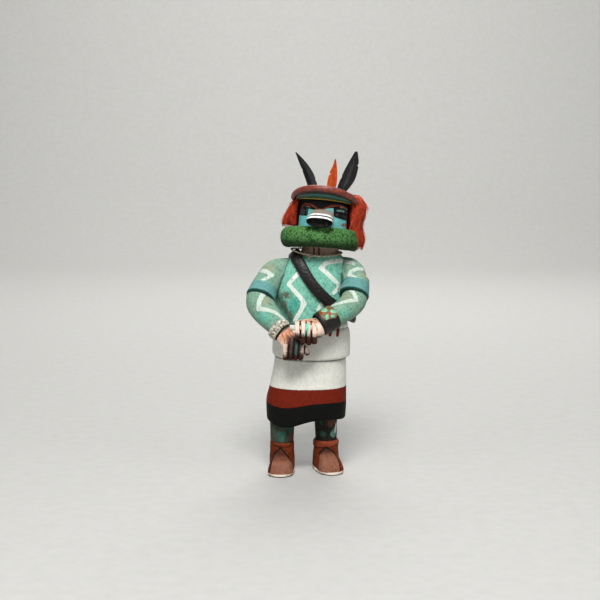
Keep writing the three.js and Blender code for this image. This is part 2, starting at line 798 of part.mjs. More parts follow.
// A cuff round a wrist, cut to fit over the arm inside it.
function cuff(from, to, rows, inside) {
  const start = point(...from);
  const end = point(...to);
  const along = end.clone().sub(start).normalize();
  const side = UP.clone().addScaledVector(along, -UP.dot(along)).normalize();
  const other = new THREE.Vector3().crossVectors(along, side);
  const rings = rows.map(([t, radius]) => ring(start.clone().lerp(end, t), side, other, radius, radius, 18));
  return skin(rings).subtract(inside);
}

function bowGuard() {
  const rows = [[0, 10.2], [0.1, 10.5], [0.9, 10], [1, 9.7]];
  return cuff([24, 30, 138.8], [11.4, 36, 132.6], rows, arm(LEFT_ARM, GAP).add(leftHand(GAP)));
}

function wristBand() {
  const rows = [[0, 9.2], [0.25, 10], [0.75, 9.8], [1, 9]];
  return cuff([-24.2, 30.6, 130.4], [-18.8, 33.7, 126], rows, arm(RIGHT_ARM, GAP).add(rightHand(GAP)));
}

const doll = new THREE.Group();

function piece(name, manifold, color, roughness, metalness = 0) {
  const material = new THREE.MeshStandardMaterial({ color, roughness, metalness });
  const mesh = new THREE.Mesh(geometryOf(manifold), material);
  mesh.name = name;
  doll.add(mesh);
}

piece("carved_figure", figure(), COLOURS.figure, 0.75);
piece("visor", visor(), COLOURS.visor, 0.6);
piece("snout", snout(), COLOURS.snout, 0.55);
piece("ruff", ruff(), COLOURS.ruff, 0.95);
piece("hair", hair(), COLOURS.hair, 0.9);
piece("right_black_feather", feather(RIGHT_FEATHER, 0.35, 0.22), COLOURS.blackFeather, 0.4);
piece("left_black_feather", feather(LEFT_FEATHER, -0.15, 0.15), COLOURS.blackFeather, 0.5);
piece("orange_feather", feather(ORANGE_FEATHER, 0, 0.15), COLOURS.orangeFeather, 0.6);
piece("bandolier", bandolier(), COLOURS.bandolier, 0.5);
piece("neck_cord", neckCord(), COLOURS.cord, 0.8);
piece("bow_guard", bowGuard(), COLOURS.bowGuard, 0.6);
piece("wrist_band", wristBand(), COLOURS.wristBand, 0.6);

// The origin is under the middle of the whole doll, on the ground.
doll.updateMatrixWorld(true);
const box = new THREE.Box3().setFromObject(doll);
const middle = box.getCenter(new THREE.Vector3());
doll.position.set(-middle.x, -middle.y, -box.min.z);

export default doll;
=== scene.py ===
import math

import bpy
import numpy as np
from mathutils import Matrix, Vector, noise
from mathutils.bvhtree import BVHTree


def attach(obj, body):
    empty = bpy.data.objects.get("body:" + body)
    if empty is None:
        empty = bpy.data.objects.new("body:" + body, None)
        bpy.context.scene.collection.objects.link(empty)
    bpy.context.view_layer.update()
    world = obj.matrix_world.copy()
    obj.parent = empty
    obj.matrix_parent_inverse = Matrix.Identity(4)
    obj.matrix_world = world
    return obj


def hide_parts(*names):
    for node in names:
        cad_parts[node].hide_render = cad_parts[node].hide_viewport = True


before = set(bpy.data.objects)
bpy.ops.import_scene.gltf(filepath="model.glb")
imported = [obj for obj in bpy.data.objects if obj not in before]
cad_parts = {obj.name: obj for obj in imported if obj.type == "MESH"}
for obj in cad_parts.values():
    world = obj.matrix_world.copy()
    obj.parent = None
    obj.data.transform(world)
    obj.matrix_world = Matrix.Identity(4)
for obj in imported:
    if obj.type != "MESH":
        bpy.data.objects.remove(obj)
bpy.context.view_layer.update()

# The figure is one length of cottonwood root, cut with a knife and rasped smooth from the crown of the mask
# to the soles. It is built up here from the same sections as the solid, melted into one skin, and eased.
MIDDLE = np.array([2.457, -6.305, 0])
ACROSS = np.array([1.0, 0, 0])
AHEAD = np.array([0, -1.0, 0])
UP = np.array([0, 0, 1.0])


def spot(x, forward, z):
    return np.array([x, -forward, z])


def unit(v):
    return v / np.linalg.norm(v)


def ring(centre, u, v, half_u, half_v, count, power=2.0):
    angle = np.arange(count) * (2 * math.pi / count)
    c = np.cos(angle)
    s = np.sin(angle)
    a = half_u * np.sign(c) * np.abs(c) ** (2 / power)
    b = half_v * np.sign(s) * np.abs(s) ** (2 / power)
    return centre + np.outer(a, u) + np.outer(b, v)


def skin(rings, looped=False):
    """Points and faces of a closed form skinned over rings of equal length."""
    rings = np.asarray(rings)
    rows, count = rings.shape[:2]
    faces = []
    for i in range(rows if looped else rows - 1):
        here = i * count
        above = (i + 1) % rows * count
        for j in range(count):
            k = (j + 1) % count
            faces.append((here + j, here + k, above + k, above + j))
    if not looped:
        faces.append(tuple(range(count - 1, -1, -1)))
        faces.append(tuple(range((rows - 1) * count, rows * count)))
    return rings.reshape(-1, 3), faces


def gathered(forms):
    """Several forms as one list of points and one of faces."""
    points = []
    faces = []
    start = 0
    for form_points, form_faces in forms:
        points.append(form_points)
        faces += [tuple(n + start for n in face) for face in form_faces]
        start += len(form_points)
    return np.concatenate(points), faces


def smooth_through(rows, t):
    """The rows' values at places t, counted in rows, on a Catmull-Rom curve through them all."""
    rows = np.asarray(rows, float)
    t = np.atleast_1d(t)
    last = len(rows) - 1
    i = np.clip(t.astype(int), 0, last - 1)
    f = (t - i)[:, None]
    a, b, c, d = (rows[np.clip(i + k, 0, last)] for k in (-1, 0, 1, 2))
    ends = (2 * f**3 - 3 * f**2 + 1) * b + (3 * f**2 - 2 * f**3) * c
    return ends + (f**3 - 2 * f**2 + f) * (c - a) / 2 + (f**3 - f**2) * (d - b) / 2


def at_height(rows, z):
    """Rows that start with a height, read at heights z."""
    heights = np.array([row[0] for row in rows], float)
    z = np.atleast_1d(z)
    i = np.clip(np.searchsorted(heights, z) - 1, 0, len(rows) - 2)
    share = np.clip((z - heights[i]) / (heights[i + 1] - heights[i]), 0, 1)
    return smooth_through(rows, i + share)


# Trunk sections: height, middle x, half width, half depth, middle forward.
TORSO = [
    (121, 6.0, 29.0, 21.0, 0),
    (133, 6.0, 29.2, 20.6, 0),
    (146, 4.4, 30.2, 20.2, 0),
    (159, 4.2, 29.2, 19.8, 0),
    (169, 5.8, 27.8, 19.0, 0),
    (177, 7.8, 27.2, 17.6, 0),
    (182.5, 9.6, 24.2, 15.8, 0),
    (187, 11.3, 19.4, 14.2, 0),
    (191, 12.6, 15.8, 13.0, 0),
    (201, 14.2, 14.5, 12.6, 0.5),
]
TRUNK_POWER = 2.25
TRUNK_SIDES = 110
TORSO_SPAN = (122, 201)
TORSO_ROWS = 60


def level(z, x, half, deep, forward=0.0):
    return ring(spot(x, forward, z), ACROSS, AHEAD, half, deep, TRUNK_SIDES, TRUNK_POWER)


def torso():
    return skin([level(*row) for row in at_height(TORSO, np.linspace(*TORSO_SPAN, TORSO_ROWS))])


# The kilt hangs in one wrap. Its hem dips over the right leg, and the wood is hollowed a little under it.
KILT = [
    (56, 1.0, 34.3, 26.4),
    (64, 1.2, 34.3, 26.4),
    (74, 2.4, 33.0, 25.6),
    (85, 3.5, 31.7, 24.8),
    (96, 4.4, 30.7, 24.0),
    (110, 5.0, 30.4, 23.6),
]
KILT_ROWS = 24
HEM_HEIGHT = 46.5
HEM = (0.9, 33.8, 25.9)
# How far the hem dips, at which bearing from the front and over what width, in radians.
HEM_DIPS = [(4.6, -0.72, 0.55), (-2.4, 0.55, 0.6)]
DIP_FADES_OVER = 12
# The hem's edge from the hollow inside to the outside: how far in, and how far up.
HEM_EDGE = [(6, 5), (5, 1), (1.2, 0), (0.4, 0.3), (0, 1.2)]


def hem_dip(bearing):
    return sum(deep * np.exp(-(((bearing - middle) / wide) ** 2)) for deep, middle, wide in HEM_DIPS)


def hem_ring(inset, lift):
    x, half, deep = HEM
    points = level(0, x, half - inset, deep - inset)
    bearing = np.arctan2(points[:, 0] - x, -points[:, 1])
    points[:, 2] = HEM_HEIGHT + lift - hem_dip(bearing) * (1 - lift / DIP_FADES_OVER)
    return points


def kilt():
    heights = np.linspace(KILT[0][0], KILT[-1][0], KILT_ROWS)
    return skin([hem_ring(*edge) for edge in HEM_EDGE] + [level(*row) for row in at_height(KILT, heights)])


# The wide sash, rolled in at both edges, with its lower edge rising to the right, and the kilt's top above it.
SASH = [
    (100.5, 5.3, 31.2, 24.6),
    (100.9, 5.3, 32.3, 25.6),
    (101.6, 5.3, 33.0, 26.2),
    (104.5, 5.3, 33.3, 26.4),
    (113, 5.4, 33.2, 26.1),
    (121.5, 5.5, 32.8, 25.4),
    (124.4, 5.6, 31.8, 24.4),
    (125.5, 5.7, 30.2, 22.8),
]
SASH_RISE = 1.1
SASH_RISES_BELOW = 105
SASH_MIDDLE = 5.3
SASH_HALF = 33
WAISTBAND = [(123, 6.0, 30.4, 22.8), (128.2, 6.2, 30.3, 22.5), (129.1, 6.2, 29.9, 22.1), (129.4, 6.2, 29.2, 21.4)]


def sash():
    band = []
    for row in SASH:
        points = level(*row)
        if row[0] < SASH_RISES_BELOW:
            points[:, 2] += SASH_RISE * np.clip(-(points[:, 0] - SASH_MIDDLE) / SASH_HALF, 0, None)
        band.append(points)
    return gathered([skin(band), skin([level(*row) for row in WAISTBAND])])


# The case mask: a drum with a softened crown, rolled 5 degrees to the left and turned 8 to the right.
HEAD_RADIUS = 21.7
HEAD_BASE = spot(14.2, 0.5, 198.5)
HEAD_ROLL = math.radians(5)
HEAD_TURN = math.radians(8)
# Height above the mask's foot, and how far the side stands in or out from its radius there.
HEAD_PROFILE = [
    (0, -1.6), (2.5, -0.4), (10, 0), (22, 0.1), (33, 0), (37.5, -0.9), (40.6, -3.2), (42.3, -6.8), (43, -13),
]
MASK_ROWS = 40
MASK_SIDES = 90
head_up = np.array([math.sin(HEAD_ROLL), 0, math.cos(HEAD_ROLL)])
head_ahead = np.array([-math.sin(HEAD_TURN), -math.cos(HEAD_TURN), 0])
head_ahead = unit(head_ahead - head_up * (head_ahead @ head_up))
head_across = unit(np.cross(head_up, head_ahead))


def on_head(across, ahead, height):
    return HEAD_BASE + head_across * across + head_ahead * ahead + head_up * height


def mask():
    rows = smooth_through(HEAD_PROFILE, np.linspace(0, len(HEAD_PROFILE) - 1, MASK_ROWS))
    return skin([
        ring(on_head(0, 0, height), head_across, head_ahead, HEAD_RADIUS + out, HEAD_RADIUS + out, MASK_SIDES)
        for height, out in rows
    ])


def limb(stations, sides, steps):
    """Rings square to a smooth path through stations of x, forward, z, radius and flatness."""
    rows = np.array([tuple(row) + (1,) * (5 - len(row)) for row in stations], float)
    nudge = 0.05
    t = np.linspace(0, len(rows) - 1, steps + 1)
    at = smooth_through(rows, t)
    line = np.stack([at[:, 0], -at[:, 1], at[:, 2]], 1)
    after = smooth_through(rows, np.clip(t + nudge, 0, len(rows) - 1))
    before = smooth_through(rows, np.clip(t - nudge, 0, len(rows) - 1))
    rings = []
    side = None
    for i in range(steps + 1):
        step = after[i, :3] - before[i, :3]
        along = unit(step * (1, -1, 1))
        if side is None:
            side = ACROSS if abs(along[0]) < 0.9 else UP
        side = unit(side - along * (side @ along))
        rings.append(ring(line[i], side, np.cross(along, side), at[i, 3], at[i, 3] * at[i, 4], sides))
    return skin(rings)


# Arms hang from the shoulders, bend at the elbow and cross in front: x, forward, z and radius.
RIGHT_ARM = [
    (-8, -1, 174, 10), (-24, 0, 171.5, 11.8), (-31.8, 5, 163.2, 11.5), (-36.6, 11, 155.6, 11.5),
    (-38, 17, 148.2, 11.4),
    (-33.8, 23, 142.2, 11.2), (-27.4, 28.5, 135.4, 9.8), (-20, 33, 128, 7.9), (-17.6, 34.4, 125.8, 7.2),
]
LEFT_ARM = [
    (24, -1, 175, 10), (37.2, 0, 172.5, 11.8), (41.6, 5, 164.2, 11.2), (42, 11, 157, 10.9), (40.6, 17, 150.2, 10.7),
    (35, 23, 144.8, 10.1), (25, 29.5, 139.4, 8.9), (13.5, 35, 133.6, 7.6), (10.5, 36.5, 132.2, 7.0),
]
ARM_SIDES = 48
ARM_STEPS = 80
ARM_BANDS = {"right": ((-32.6, 5, 163.8), (-37.6, 15.5, 152)), "left": ((44.4, 4.2, 166.8), (40.8, 15, 154))}
BAND_PROFILE = [(0, 10.2), (0.6, 12), (0.93, 12.7), (0.98, 12.6), (1, 11.7)]
BAND_ROUND = 60


def arm_band(high, low):
    """A raised band, proud of the elbow like the end of a sleeve."""
    start = spot(*high)
    end = spot(*low)
    along = unit(end - start)
    side = unit(ACROSS - along * (ACROSS @ along))
    return skin([
        ring(start + (end - start) * t, side, np.cross(along, side), radius, radius, BAND_ROUND)
        for t, radius in BAND_PROFILE
    ])


# Hands: a palm each, and round fingers that taper from knuckle and bend to a blunt tip.
FINGER_TAPER = (1, 1.04, 0.95, 0.45)
FINGER_SIDES = 18


def finger(knuckle, bend, tip, radius):
    past = np.array(tip, float) + unit(np.array(tip, float) - bend) * radius * 0.6
    stations = [(*place, radius * taper) for place, taper in zip((knuckle, bend, tip, past), FINGER_TAPER)]
    return limb(stations, FINGER_SIDES, FINGER_SIDES)


FINGER_RADIUS = 2.45
THUMB_RADIUS = 2.3
RIGHT_FINGERS = [
    ((-15.2 + n * 4.15, 38.6, 119.4 - n * 0.3), (-16 + n * 4.15, 40.2, 111.6), (-16.3 + n * 4.15, 37.8, 104.8))
    for n in range(4)
]
RIGHT_THUMB = ((-6, 36, 118.6), (-0.4, 37.4, 113.4), (1.9, 37.2, 108.6))
LEFT_DROPS = (123.4, 119.6, 118.4, 119.2)
LEFT_FINGERS = [
    ((-6.4 + n * 4.5, 40.6, 134.2 - n * 0.2), (-6.2 + n * 4.5, 44.6, 128), (-6 + n * 4.5, 43.6, LEFT_DROPS[n]))
    for n in range(4)
]
RIGHT_PALM = [
    (-19.2, 33.6, 126.6, 7, 0.85), (-15.6, 36.2, 122.2, 7.8, 0.68), (-11, 37.8, 116.4, 7.6, 0.5),
    (-10.4, 37.8, 113.6, 6.6, 0.46),
]
LEFT_PALM = [
    (13, 35.4, 131.6, 7.4, 0.95), (8.6, 37.4, 130, 9, 0.8), (2, 39.4, 130.4, 9, 0.66), (-4.4, 40.2, 131.2, 7.6, 0.6),
    (-8, 40.4, 131, 4.8, 0.6),
]
PALM_SIDES = 36


def hands():
    forms = [limb(RIGHT_PALM, PALM_SIDES, 24), limb(LEFT_PALM, PALM_SIDES, 30), finger(*RIGHT_THUMB, THUMB_RADIUS)]
    forms += [finger(*joints, FINGER_RADIUS) for joints in RIGHT_FINGERS + LEFT_FINGERS]
    return gathered(forms)


# Legs, and the moccasins: an upright quarter for heel and ankle, a rounded vamp, and a flat sole.
# Each foot: middle x, forward, the leg's radius, and how far the toe turns, in radians.
FEET = {"right": (-19.7, 4.5, 10.1, -0.09), "left": (18.2, -1.5, 9.3, 0.3)}
LEG_SIDES = 60
LEG_STEPS = 40
# Sections of the quarter: middle ahead, height, half width, half length and squareness.
QUARTER = [
    (-1.2, 1, 10.4, 15, 2.4), (-0.6, 13, 10.5, 13.2, 2.2), (-0.2, 19, 10.1, 11.4, 2.2), (0, 25.6, 10.4, 10.9, 2.2),
    (0, 26.4, 9.6, 10.2, 2.2),
]
QUARTER_SIDES = 70
# Sections of the vamp: how far ahead, half width and height.
VAMP = [
    (2, 10, 20.6), (9, 10.6, 18.6), (14, 10.8, 15), (18, 10.2, 11), (20.6, 8.2, 8), (22, 5.6, 5.4), (22.6, 2.8, 3.4),
]
VAMP_SIDES = 60
FOOT_ROWS = 30
SOLE = {"thick": 2.2, "middle": 3.4, "half_long": 20.0, "half_wide": 11.2}
# The sole's edge from below: height and how far it stands out.
SOLE_EDGE = [(0, -0.5), (0.5, 0), (SOLE["thick"], 0), (SOLE["thick"] + 0.3, -0.6)]


def foot_axes(side):
    x, forward, _, turn = FEET[side]
    toe = np.array([math.sin(turn), -math.cos(turn), 0])
    return spot(x, forward, 0), np.cross(toe, UP), toe


def leg(side):
    x, forward, radius, _ = FEET[side]
    stations = [(x, forward, 14, radius), (x, forward, 30, radius), (x * 0.97, forward * 0.9, 60, radius + 1.2)]
    return limb(stations, LEG_SIDES, LEG_STEPS)


def moccasin(side):
    ankle, wide, toe = foot_axes(side)
    rows = smooth_through(QUARTER[:4], np.linspace(0, 3, FOOT_ROWS)).tolist() + [QUARTER[4]]
    quarter = [
        ring(ankle + toe * ahead + UP * z, wide, toe, half_wide, half_long, QUARTER_SIDES, power)
        for ahead, z, half_wide, half_long, power in rows
    ]
    angle = np.linspace(0, 2 * math.pi, VAMP_SIDES, endpoint=False)
    c = np.cos(angle)
    s = np.sin(angle)
    foot = SOLE["thick"] - 0.2
    vamp = []
    for ahead, half_wide, height in smooth_through(VAMP, np.linspace(0, len(VAMP) - 1, FOOT_ROWS)):
        sideways = half_wide * np.sign(c) * np.abs(c) ** 0.8
        rise = np.where(s > 0, foot + (height - foot) * np.abs(s) ** 1.15, foot + s * 1.2)
        vamp.append(ankle + np.outer(sideways, wide) + toe * ahead + np.outer(rise, UP))
    sole = []
    for z, extra in SOLE_EDGE:
        sideways = np.sign(s) * np.abs(s) ** 0.75 * (SOLE["half_wide"] + extra) * (1 - 0.1 * np.clip(-c, 0, None))
        reach = SOLE["middle"] + c * (SOLE["half_long"] + extra)
        sole.append(ankle + np.outer(sideways, wide) + np.outer(reach, toe) + UP * z)
    return gathered([skin(quarter), skin(vamp), skin(sole)])


def melted(name, form, voxel, most_faces):
    """One skin over overlapping closed forms: remeshed, thinned to a number of triangles and smoothed."""
    points, faces = form
    mesh = bpy.data.meshes.new(name)
    mesh.from_pydata(points.tolist(), [], faces)
    made = bpy.data.objects.new(name, mesh)
    bpy.context.scene.collection.objects.link(made)
    remesh = made.modifiers.new("melt", "REMESH")
    remesh.mode = "VOXEL"
    remesh.voxel_size = voxel
    graph = bpy.context.evaluated_depsgraph_get()
    melted_mesh = bpy.data.meshes.new_from_object(made.evaluated_get(graph))
    made.modifiers.clear()
    made.data = melted_mesh
    bpy.data.meshes.remove(mesh)
    co = eased(points_of(melted_mesh), melted_mesh, 8)
    melted_mesh.vertices.foreach_set("co", co.ravel())
    melted_mesh.update()
    triangles = sum(len(face.vertices) - 2 for face in melted_mesh.polygons)
    if triangles > most_faces:
        thin = made.modifiers.new("thin", "DECIMATE")
        thin.ratio = most_faces / triangles
        graph = bpy.context.evaluated_depsgraph_get()
        thinned = bpy.data.meshes.new_from_object(made.evaluated_get(graph))
        made.modifiers.clear()
        made.data = thinned
        bpy.data.meshes.remove(melted_mesh)
    return made


def points_of(mesh):
    co = np.empty(len(mesh.vertices) * 3)
    mesh.vertices.foreach_get("co", co)
    return co.reshape(-1, 3)


def edges_of(mesh):
    ends = np.empty(len(mesh.edges) * 2, int)
    mesh.edges.foreach_get("vertices", ends)
    return ends.reshape(-1, 2)


def neighbour_mean(values, ends, count):
    """The mean of each point's neighbours, for values with one or more columns."""
    total = np.zeros_like(values)
    number = np.bincount(ends.ravel(), minlength=count)
    for a, b in ((0, 1), (1, 0)):
        for column in range(values.shape[1]):
            total[:, column] += np.bincount(ends[:, a], values[ends[:, b], column], count)
    return total / np.maximum(number, 1)[:, None]


def eased(co, mesh, rounds):
    """Smooths away the remesh's steps: each round draws points in and then out again, so nothing shrinks."""
    ends = edges_of(mesh)
    for _ in range(rounds):
        for pull in (0.5, -0.52):
            co = co + pull * (neighbour_mean(co, ends, len(co)) - co)
    return co


parts = {
    "trunk": torso(),
    "skirt": gathered([kilt(), sash()]),
    "mask": mask(),
    "arms": gathered([limb(arm, ARM_SIDES, ARM_STEPS) for arm in (RIGHT_ARM, LEFT_ARM)]),
    "bands": gathered([arm_band(*ends) for ends in ARM_BANDS.values()]),
    "hands": hands(),
    "legs": gathered([leg("right"), leg("left")]),
    "feet": gathered([moccasin("right"), moccasin("left")]),
}
figure = melted("doll_figure", gathered(parts.values()), voxel=0.7, most_faces=190000)

# The paint: thin matt earth and poster colours brushed straight on the rasped wood, without a varnish. How
# far each point lies inside a painted mark is kept on the skin in millimetres, and the finish reads it there.
co = points_of(figure.data)
ends = edges_of(figure.data)
figure_tree = BVHTree.FromPolygons(co.tolist(), [tuple(face.vertices) for face in figure.data.polygons])
# The camera's place, from which the brush strokes are aimed, and the depth past which a mark makes no odds.
EYE = spot(-4.3, 1074.4, 299.3)
FAR = 9.0


def seen_at(x, forward, z):
    """Where the line of sight through a place on the doll's front meets the wood."""
    aim = spot(x, forward, z)
    hit = figure_tree.ray_cast(Vector(EYE), Vector(aim - EYE).normalized())[0]
    return aim if hit is None else np.array(hit)


def from_line(points, line):
    """Distance of points from a line through several places."""
    nearest = np.full(len(points), 1e9)
    for a, b in zip(line[:-1], line[1:]):
        run = b - a
        share = np.clip((points - a) @ run / max(run @ run, 1e-9), 0, 1)
        nearest = np.minimum(nearest, np.linalg.norm(points - a - share[:, None] * run, axis=1))
    return nearest


def brushed(forward, width, places):
    """Depth inside a brush stroke that passes these places, x and z, as seen from in front."""
    places = np.array(places, float)
    dense = [a + (b - a) * t for a, b in zip(places[:-1], places[1:]) for t in np.arange(0, 1, 0.2)]
    line = np.array([seen_at(x, forward, z) for x, z in dense + [places[-1]]])
    return width / 2 - from_line(co, line)


def dabbed(x, forward, z, wide, high):
    """Depth inside a rounded dab of paint, a little deeper than it is wide so that it wraps."""
    middle = seen_at(x, forward, z)
    radii = np.array([wide / 2, max(wide, high) / 2, high / 2])
    return (1 - np.linalg.norm((co - middle) / radii, axis=1)) * radii.min()


def inside_outline(u, v, outline):
    """Depth inside a flat outline, for points with places u and v on its plane."""
    outline = np.array(outline, float)
    points = np.stack([u, v], 1)
    inside = np.zeros(len(points), bool)
    for a, b in zip(outline, np.roll(outline, -1, 0)):
        between = (a[1] > v) != (b[1] > v)
        rise = b[1] - a[1] if b[1] != a[1] else 1e-9
        inside ^= between & (u < a[0] + (v - a[1]) * (b[0] - a[0]) / rise)
    edge = from_line(points, np.concatenate([outline, outline[:1]]))
    return np.where(inside, edge, -edge)


def nearness(form):
    """How far each point of the skin lies from one of the forms it was melted from."""
    points, faces = form
    tree = BVHTree.FromPolygons(points.tolist(), faces)
    return np.array([tree.find_nearest(p)[3] for p in co])


away = {name: nearness(form) for name, form in parts.items() if name != "bands"}


def carved_as(name):
    """Positive where the skin is that part of the carving, and nothing at the creases between parts."""
    return np.minimum.reduce([away[other] for other in away if other != name]) - away[name]


def either(*depths):
    return np.maximum.reduce(depths)


def within(*depths):
    return np.minimum.reduce(depths)


def split_along(points, origin, direction):
    """How far points lie along a line from its origin, and their offsets square to it."""
    along = (points - origin) @ direction
    return along, points - origin - np.outer(along, direction)


skirt = carved_as("skirt")
masked = carved_as("mask")
armed = carved_as("arms")
handed = carved_as("hands")
legged = carved_as("legs")
shod = carved_as("feet")
marks = {}

# Body: turquoise over all, paler and speckled on the arms, with white lightning lines, and bare wood and painted
# shade low on the right of the chest, beside the arm.
marks["pale_arms"] = armed
marks["lightning"] = either(
    brushed(20, 3.5, [
        (-5.5, 173.8), (-9.7, 169.2), (-13.9, 164.6), (-7.2, 157.0), (-0.3, 148.6), (-4.3, 140.9), (-8.6, 133.5),
    ]),
    brushed(14, 3.7, [
        (40.1, 181.5), (31.7, 183.4), (22.5, 182.8), (16.6, 181.1), (13.3, 177.3), (21.7, 169.7), (29.3, 162.1),
        (24.0, 156.4),
    ]),
    brushed(14, 3.2, [(18.5, 151.0), (13.4, 146.0), (10.8, 142.6)]),
    brushed(10, 3.4, [(-37.1, 174.7), (-32.9, 174.1), (-27.9, 170.7)]),
    brushed(10, 2.6, [(-27.9, 170.7), (-33.8, 167.5), (-40.9, 164.1)]),
    brushed(24, 3.9, [(-35.1, 156.3), (-38.2, 150.8), (-38.9, 144.1)]),
    brushed(24, 3.2, [(-38.9, 144.1), (-32.6, 143.7), (-26.0, 142.0), (-21.0, 138.6), (-16.0, 134.4)]),
    brushed(10, 2.8, [
        (51.2, 175.6), (44.5, 176.4), (38.6, 174.1), (36.8, 171.3), (42.8, 168.5), (47.1, 165.6), (50.9, 162.4),
    ]),
    brushed(26, 3.2, [(37.6, 161.1), (41.2, 156.5), (42.5, 152.1)]),
    brushed(26, 2.8, [(42.5, 152.1), (36.4, 151.3), (30.6, 150.1), (24.0, 147.9), (19.4, 146.5)]),
)
marks["arm_lightning"] = within(marks["lightning"], armed + 0.3)
# Painted shade: a broad dark grey-teal stroke where the chest lies in the shade of the right arm.
marks["shaded_side"] = brushed(16, 7.0, [(-22.7, 153.0), (-19.0, 146.0), (-15.0, 139.3), (-12.0, 134.0)])
marks["bare_wood"] = either(
    dabbed(-16.0, 18, 155.2, 9.5, 5.4), dabbed(-17.5, 17, 146.5, 4.5, 6.5), dabbed(-12.4, 17, 138.0, 3.6, 5.0))
marks["deep_teal"] = dabbed(-9.0, 18, 146.0, 10, 13)
marks["arm_turquoise"] = within(armed, either(dabbed(-35.0, 24, 137.0, 16, 10), dabbed(33.5, 26, 140.6, 9, 7)))
marks["cream_shoulder"] = within(armed, either(
    dabbed(-31.5, 8, 176.5, 11, 9), dabbed(-33.0, 24, 151.0, 9, 7),
    dabbed(50.0, 8, 171.0, 9, 8), dabbed(34.0, 26, 155.0, 9, 6)))

# The arm bands are blue, with a dark green line on the lower edge. A band's paint starts so far down it.
BAND_TOPS = {"right": 6.0, "left": 5.8}
BAND_REACH = 16
marks["blue_band"] = np.full(len(co), -FAR)
marks["band_edge"] = np.full(len(co), -FAR)
for side, (high, low) in ARM_BANDS.items():
    run = spot(*low) - spot(*high)
    length = np.linalg.norm(run)
    along, aside = split_along(co, spot(*high), run / length)
    near = within(BAND_REACH - np.linalg.norm(aside, axis=1), length + 1.0 - along, armed + 0.6)
    marks["blue_band"] = either(marks["blue_band"], within(near, along - BAND_TOPS[side]))
    marks["band_edge"] = either(marks["band_edge"], within(near, along - length + 0.9))

# Neck: pinkish white above the cord, painted darker as the shade under the ruff, with two red-brown strokes.
marks["neck_white_with_painted_shade"] = within(co[:, 2] - 187.2, 198 - co[:, 2], carved_as("trunk") + 1)
marks["neck_red"] = either(*(brushed(13, 1.5, [(x, 194.5), (x, 188.5)]) for x in (7.4, 11.6)))

# Kilt, sash and waistband: white, with a red and a black border at the foot of the kilt.
RED_BORDER_TOP = 75.4
BLACK_BORDER_TOP = 62.2
bearing = np.arctan2(co[:, 0] - HEM[0], -co[:, 1])
border = co[:, 2] + 0.6 * hem_dip(bearing)
marks["cotton_white"] = skirt
marks["red_border"] = within(RED_BORDER_TOP - co[:, 2], skirt + 0.5)
marks["black_border"] = within(BLACK_BORDER_TOP - border, skirt + 0.5)
marks["waist_red"] = either(
    brushed(22, 2.7, [(21.5, 126.8), (20.8, 121.8)]), brushed(21, 2.9, [(27.7, 127.6), (27.1, 121.4)]))

# Hands: pinkish white with red-brown finger ends, gaps and fine lines, a turquoise finger on each, and
# painted shade at each wrist, where it comes out of the cuff that is worn there.
BAND_ENDS = ((-24.2, 30.6, 130.4), (-18.8, 33.7, 126))
GUARD_ENDS = ((24, 30, 138.8), (11.4, 36, 132.6))
finger_lines = [np.array([spot(*p) for p in joints]) for joints in RIGHT_FINGERS + LEFT_FINGERS + [RIGHT_THUMB]]
from_fingers = np.stack([from_line(co, line) for line in finger_lines])
finger_away = np.sort(from_fingers, axis=0)
between = finger_away[1] - finger_away[0]
on_left_hand = np.argmin(from_fingers[:-1], axis=0) >= len(RIGHT_FINGERS)
# Painted shade: each wrist is darkened from just inside its cuff's open end to just past it.
marks["wrist_gap_shade"] = np.full(len(co), -FAR)
for (start, end), reach in ((BAND_ENDS, 1.6), (GUARD_ENDS, 0.8)):
    past, aside = split_along(co, spot(*end), unit(spot(*end) - spot(*start)))
    dark = within(past + 1.5, reach - past, 11 - np.linalg.norm(aside, axis=1), armed + 3)
    marks["wrist_gap_shade"] = either(marks["wrist_gap_shade"], dark)
marks["hand_white"] = handed
marks["hand_orange"] = within(handed, either(dabbed(8.0, 42, 139.4, 22, 7.6), dabbed(-16.0, 38, 126.0, 15, 16)))
# Painted shade: the right hand's fingers, lying under the left hand, are painted dim grey-brown.
fingers_in_shade = within(124.0 - co[:, 2], co[:, 0] + 15.5, -2.4 - co[:, 0])
marks["hand_painted_shade"] = within(handed, np.where(on_left_hand, -FAR, fingers_in_shade))
tips_left = np.where(on_left_hand, 126.4 - co[:, 2] - 0.12 * co[:, 0], -FAR)
tips_right = 110.0 - co[:, 2] + 0.1 * co[:, 0]
marks["finger_ends"] = within(either(tips_left, tips_right), handed + 0.4)
marks["finger_gaps"] = within(1.15 - between, 3.6 - finger_away[0], handed + 0.4)
marks["hand_lines"] = within(handed, either(
    brushed(42, 0.9, [(-6.8, 136.6), (-1.8, 137.6), (3.9, 136.4), (9.6, 135.6)]),
    brushed(42, 0.7, [(3.0, 139.0), (7.5, 138.6), (11.5, 136.4)]),
    brushed(42, 0.7, [(7.6, 134.6), (9.4, 131.5), (9.8, 128.4)]),
    brushed(39, 0.8, [(-19.5, 126.0), (-17.3, 121.5), (-17.0, 117.5)]),
    brushed(39, 0.7, [(-16.2, 127.3), (-14.6, 123.0), (-13.8, 118.5)]),
    brushed(39, 0.7, [(-13.2, 127.6), (-11.6, 123.5), (-10.4, 120.0)]),
))
marks["turquoise_fingers"] = within(handed, brushed(44, 3.2, [(1.9, 134.6), (1.3, 130.5), (0.7, 125.6)]))
# Painted shade: the right hand's turquoise finger is painted a darker turquoise, as in shade.
marks["turquoise_in_painted_shade"] = within(handed, brushed(41, 2.8, [(-6.4, 118.6), (-7.2, 109.4)]))

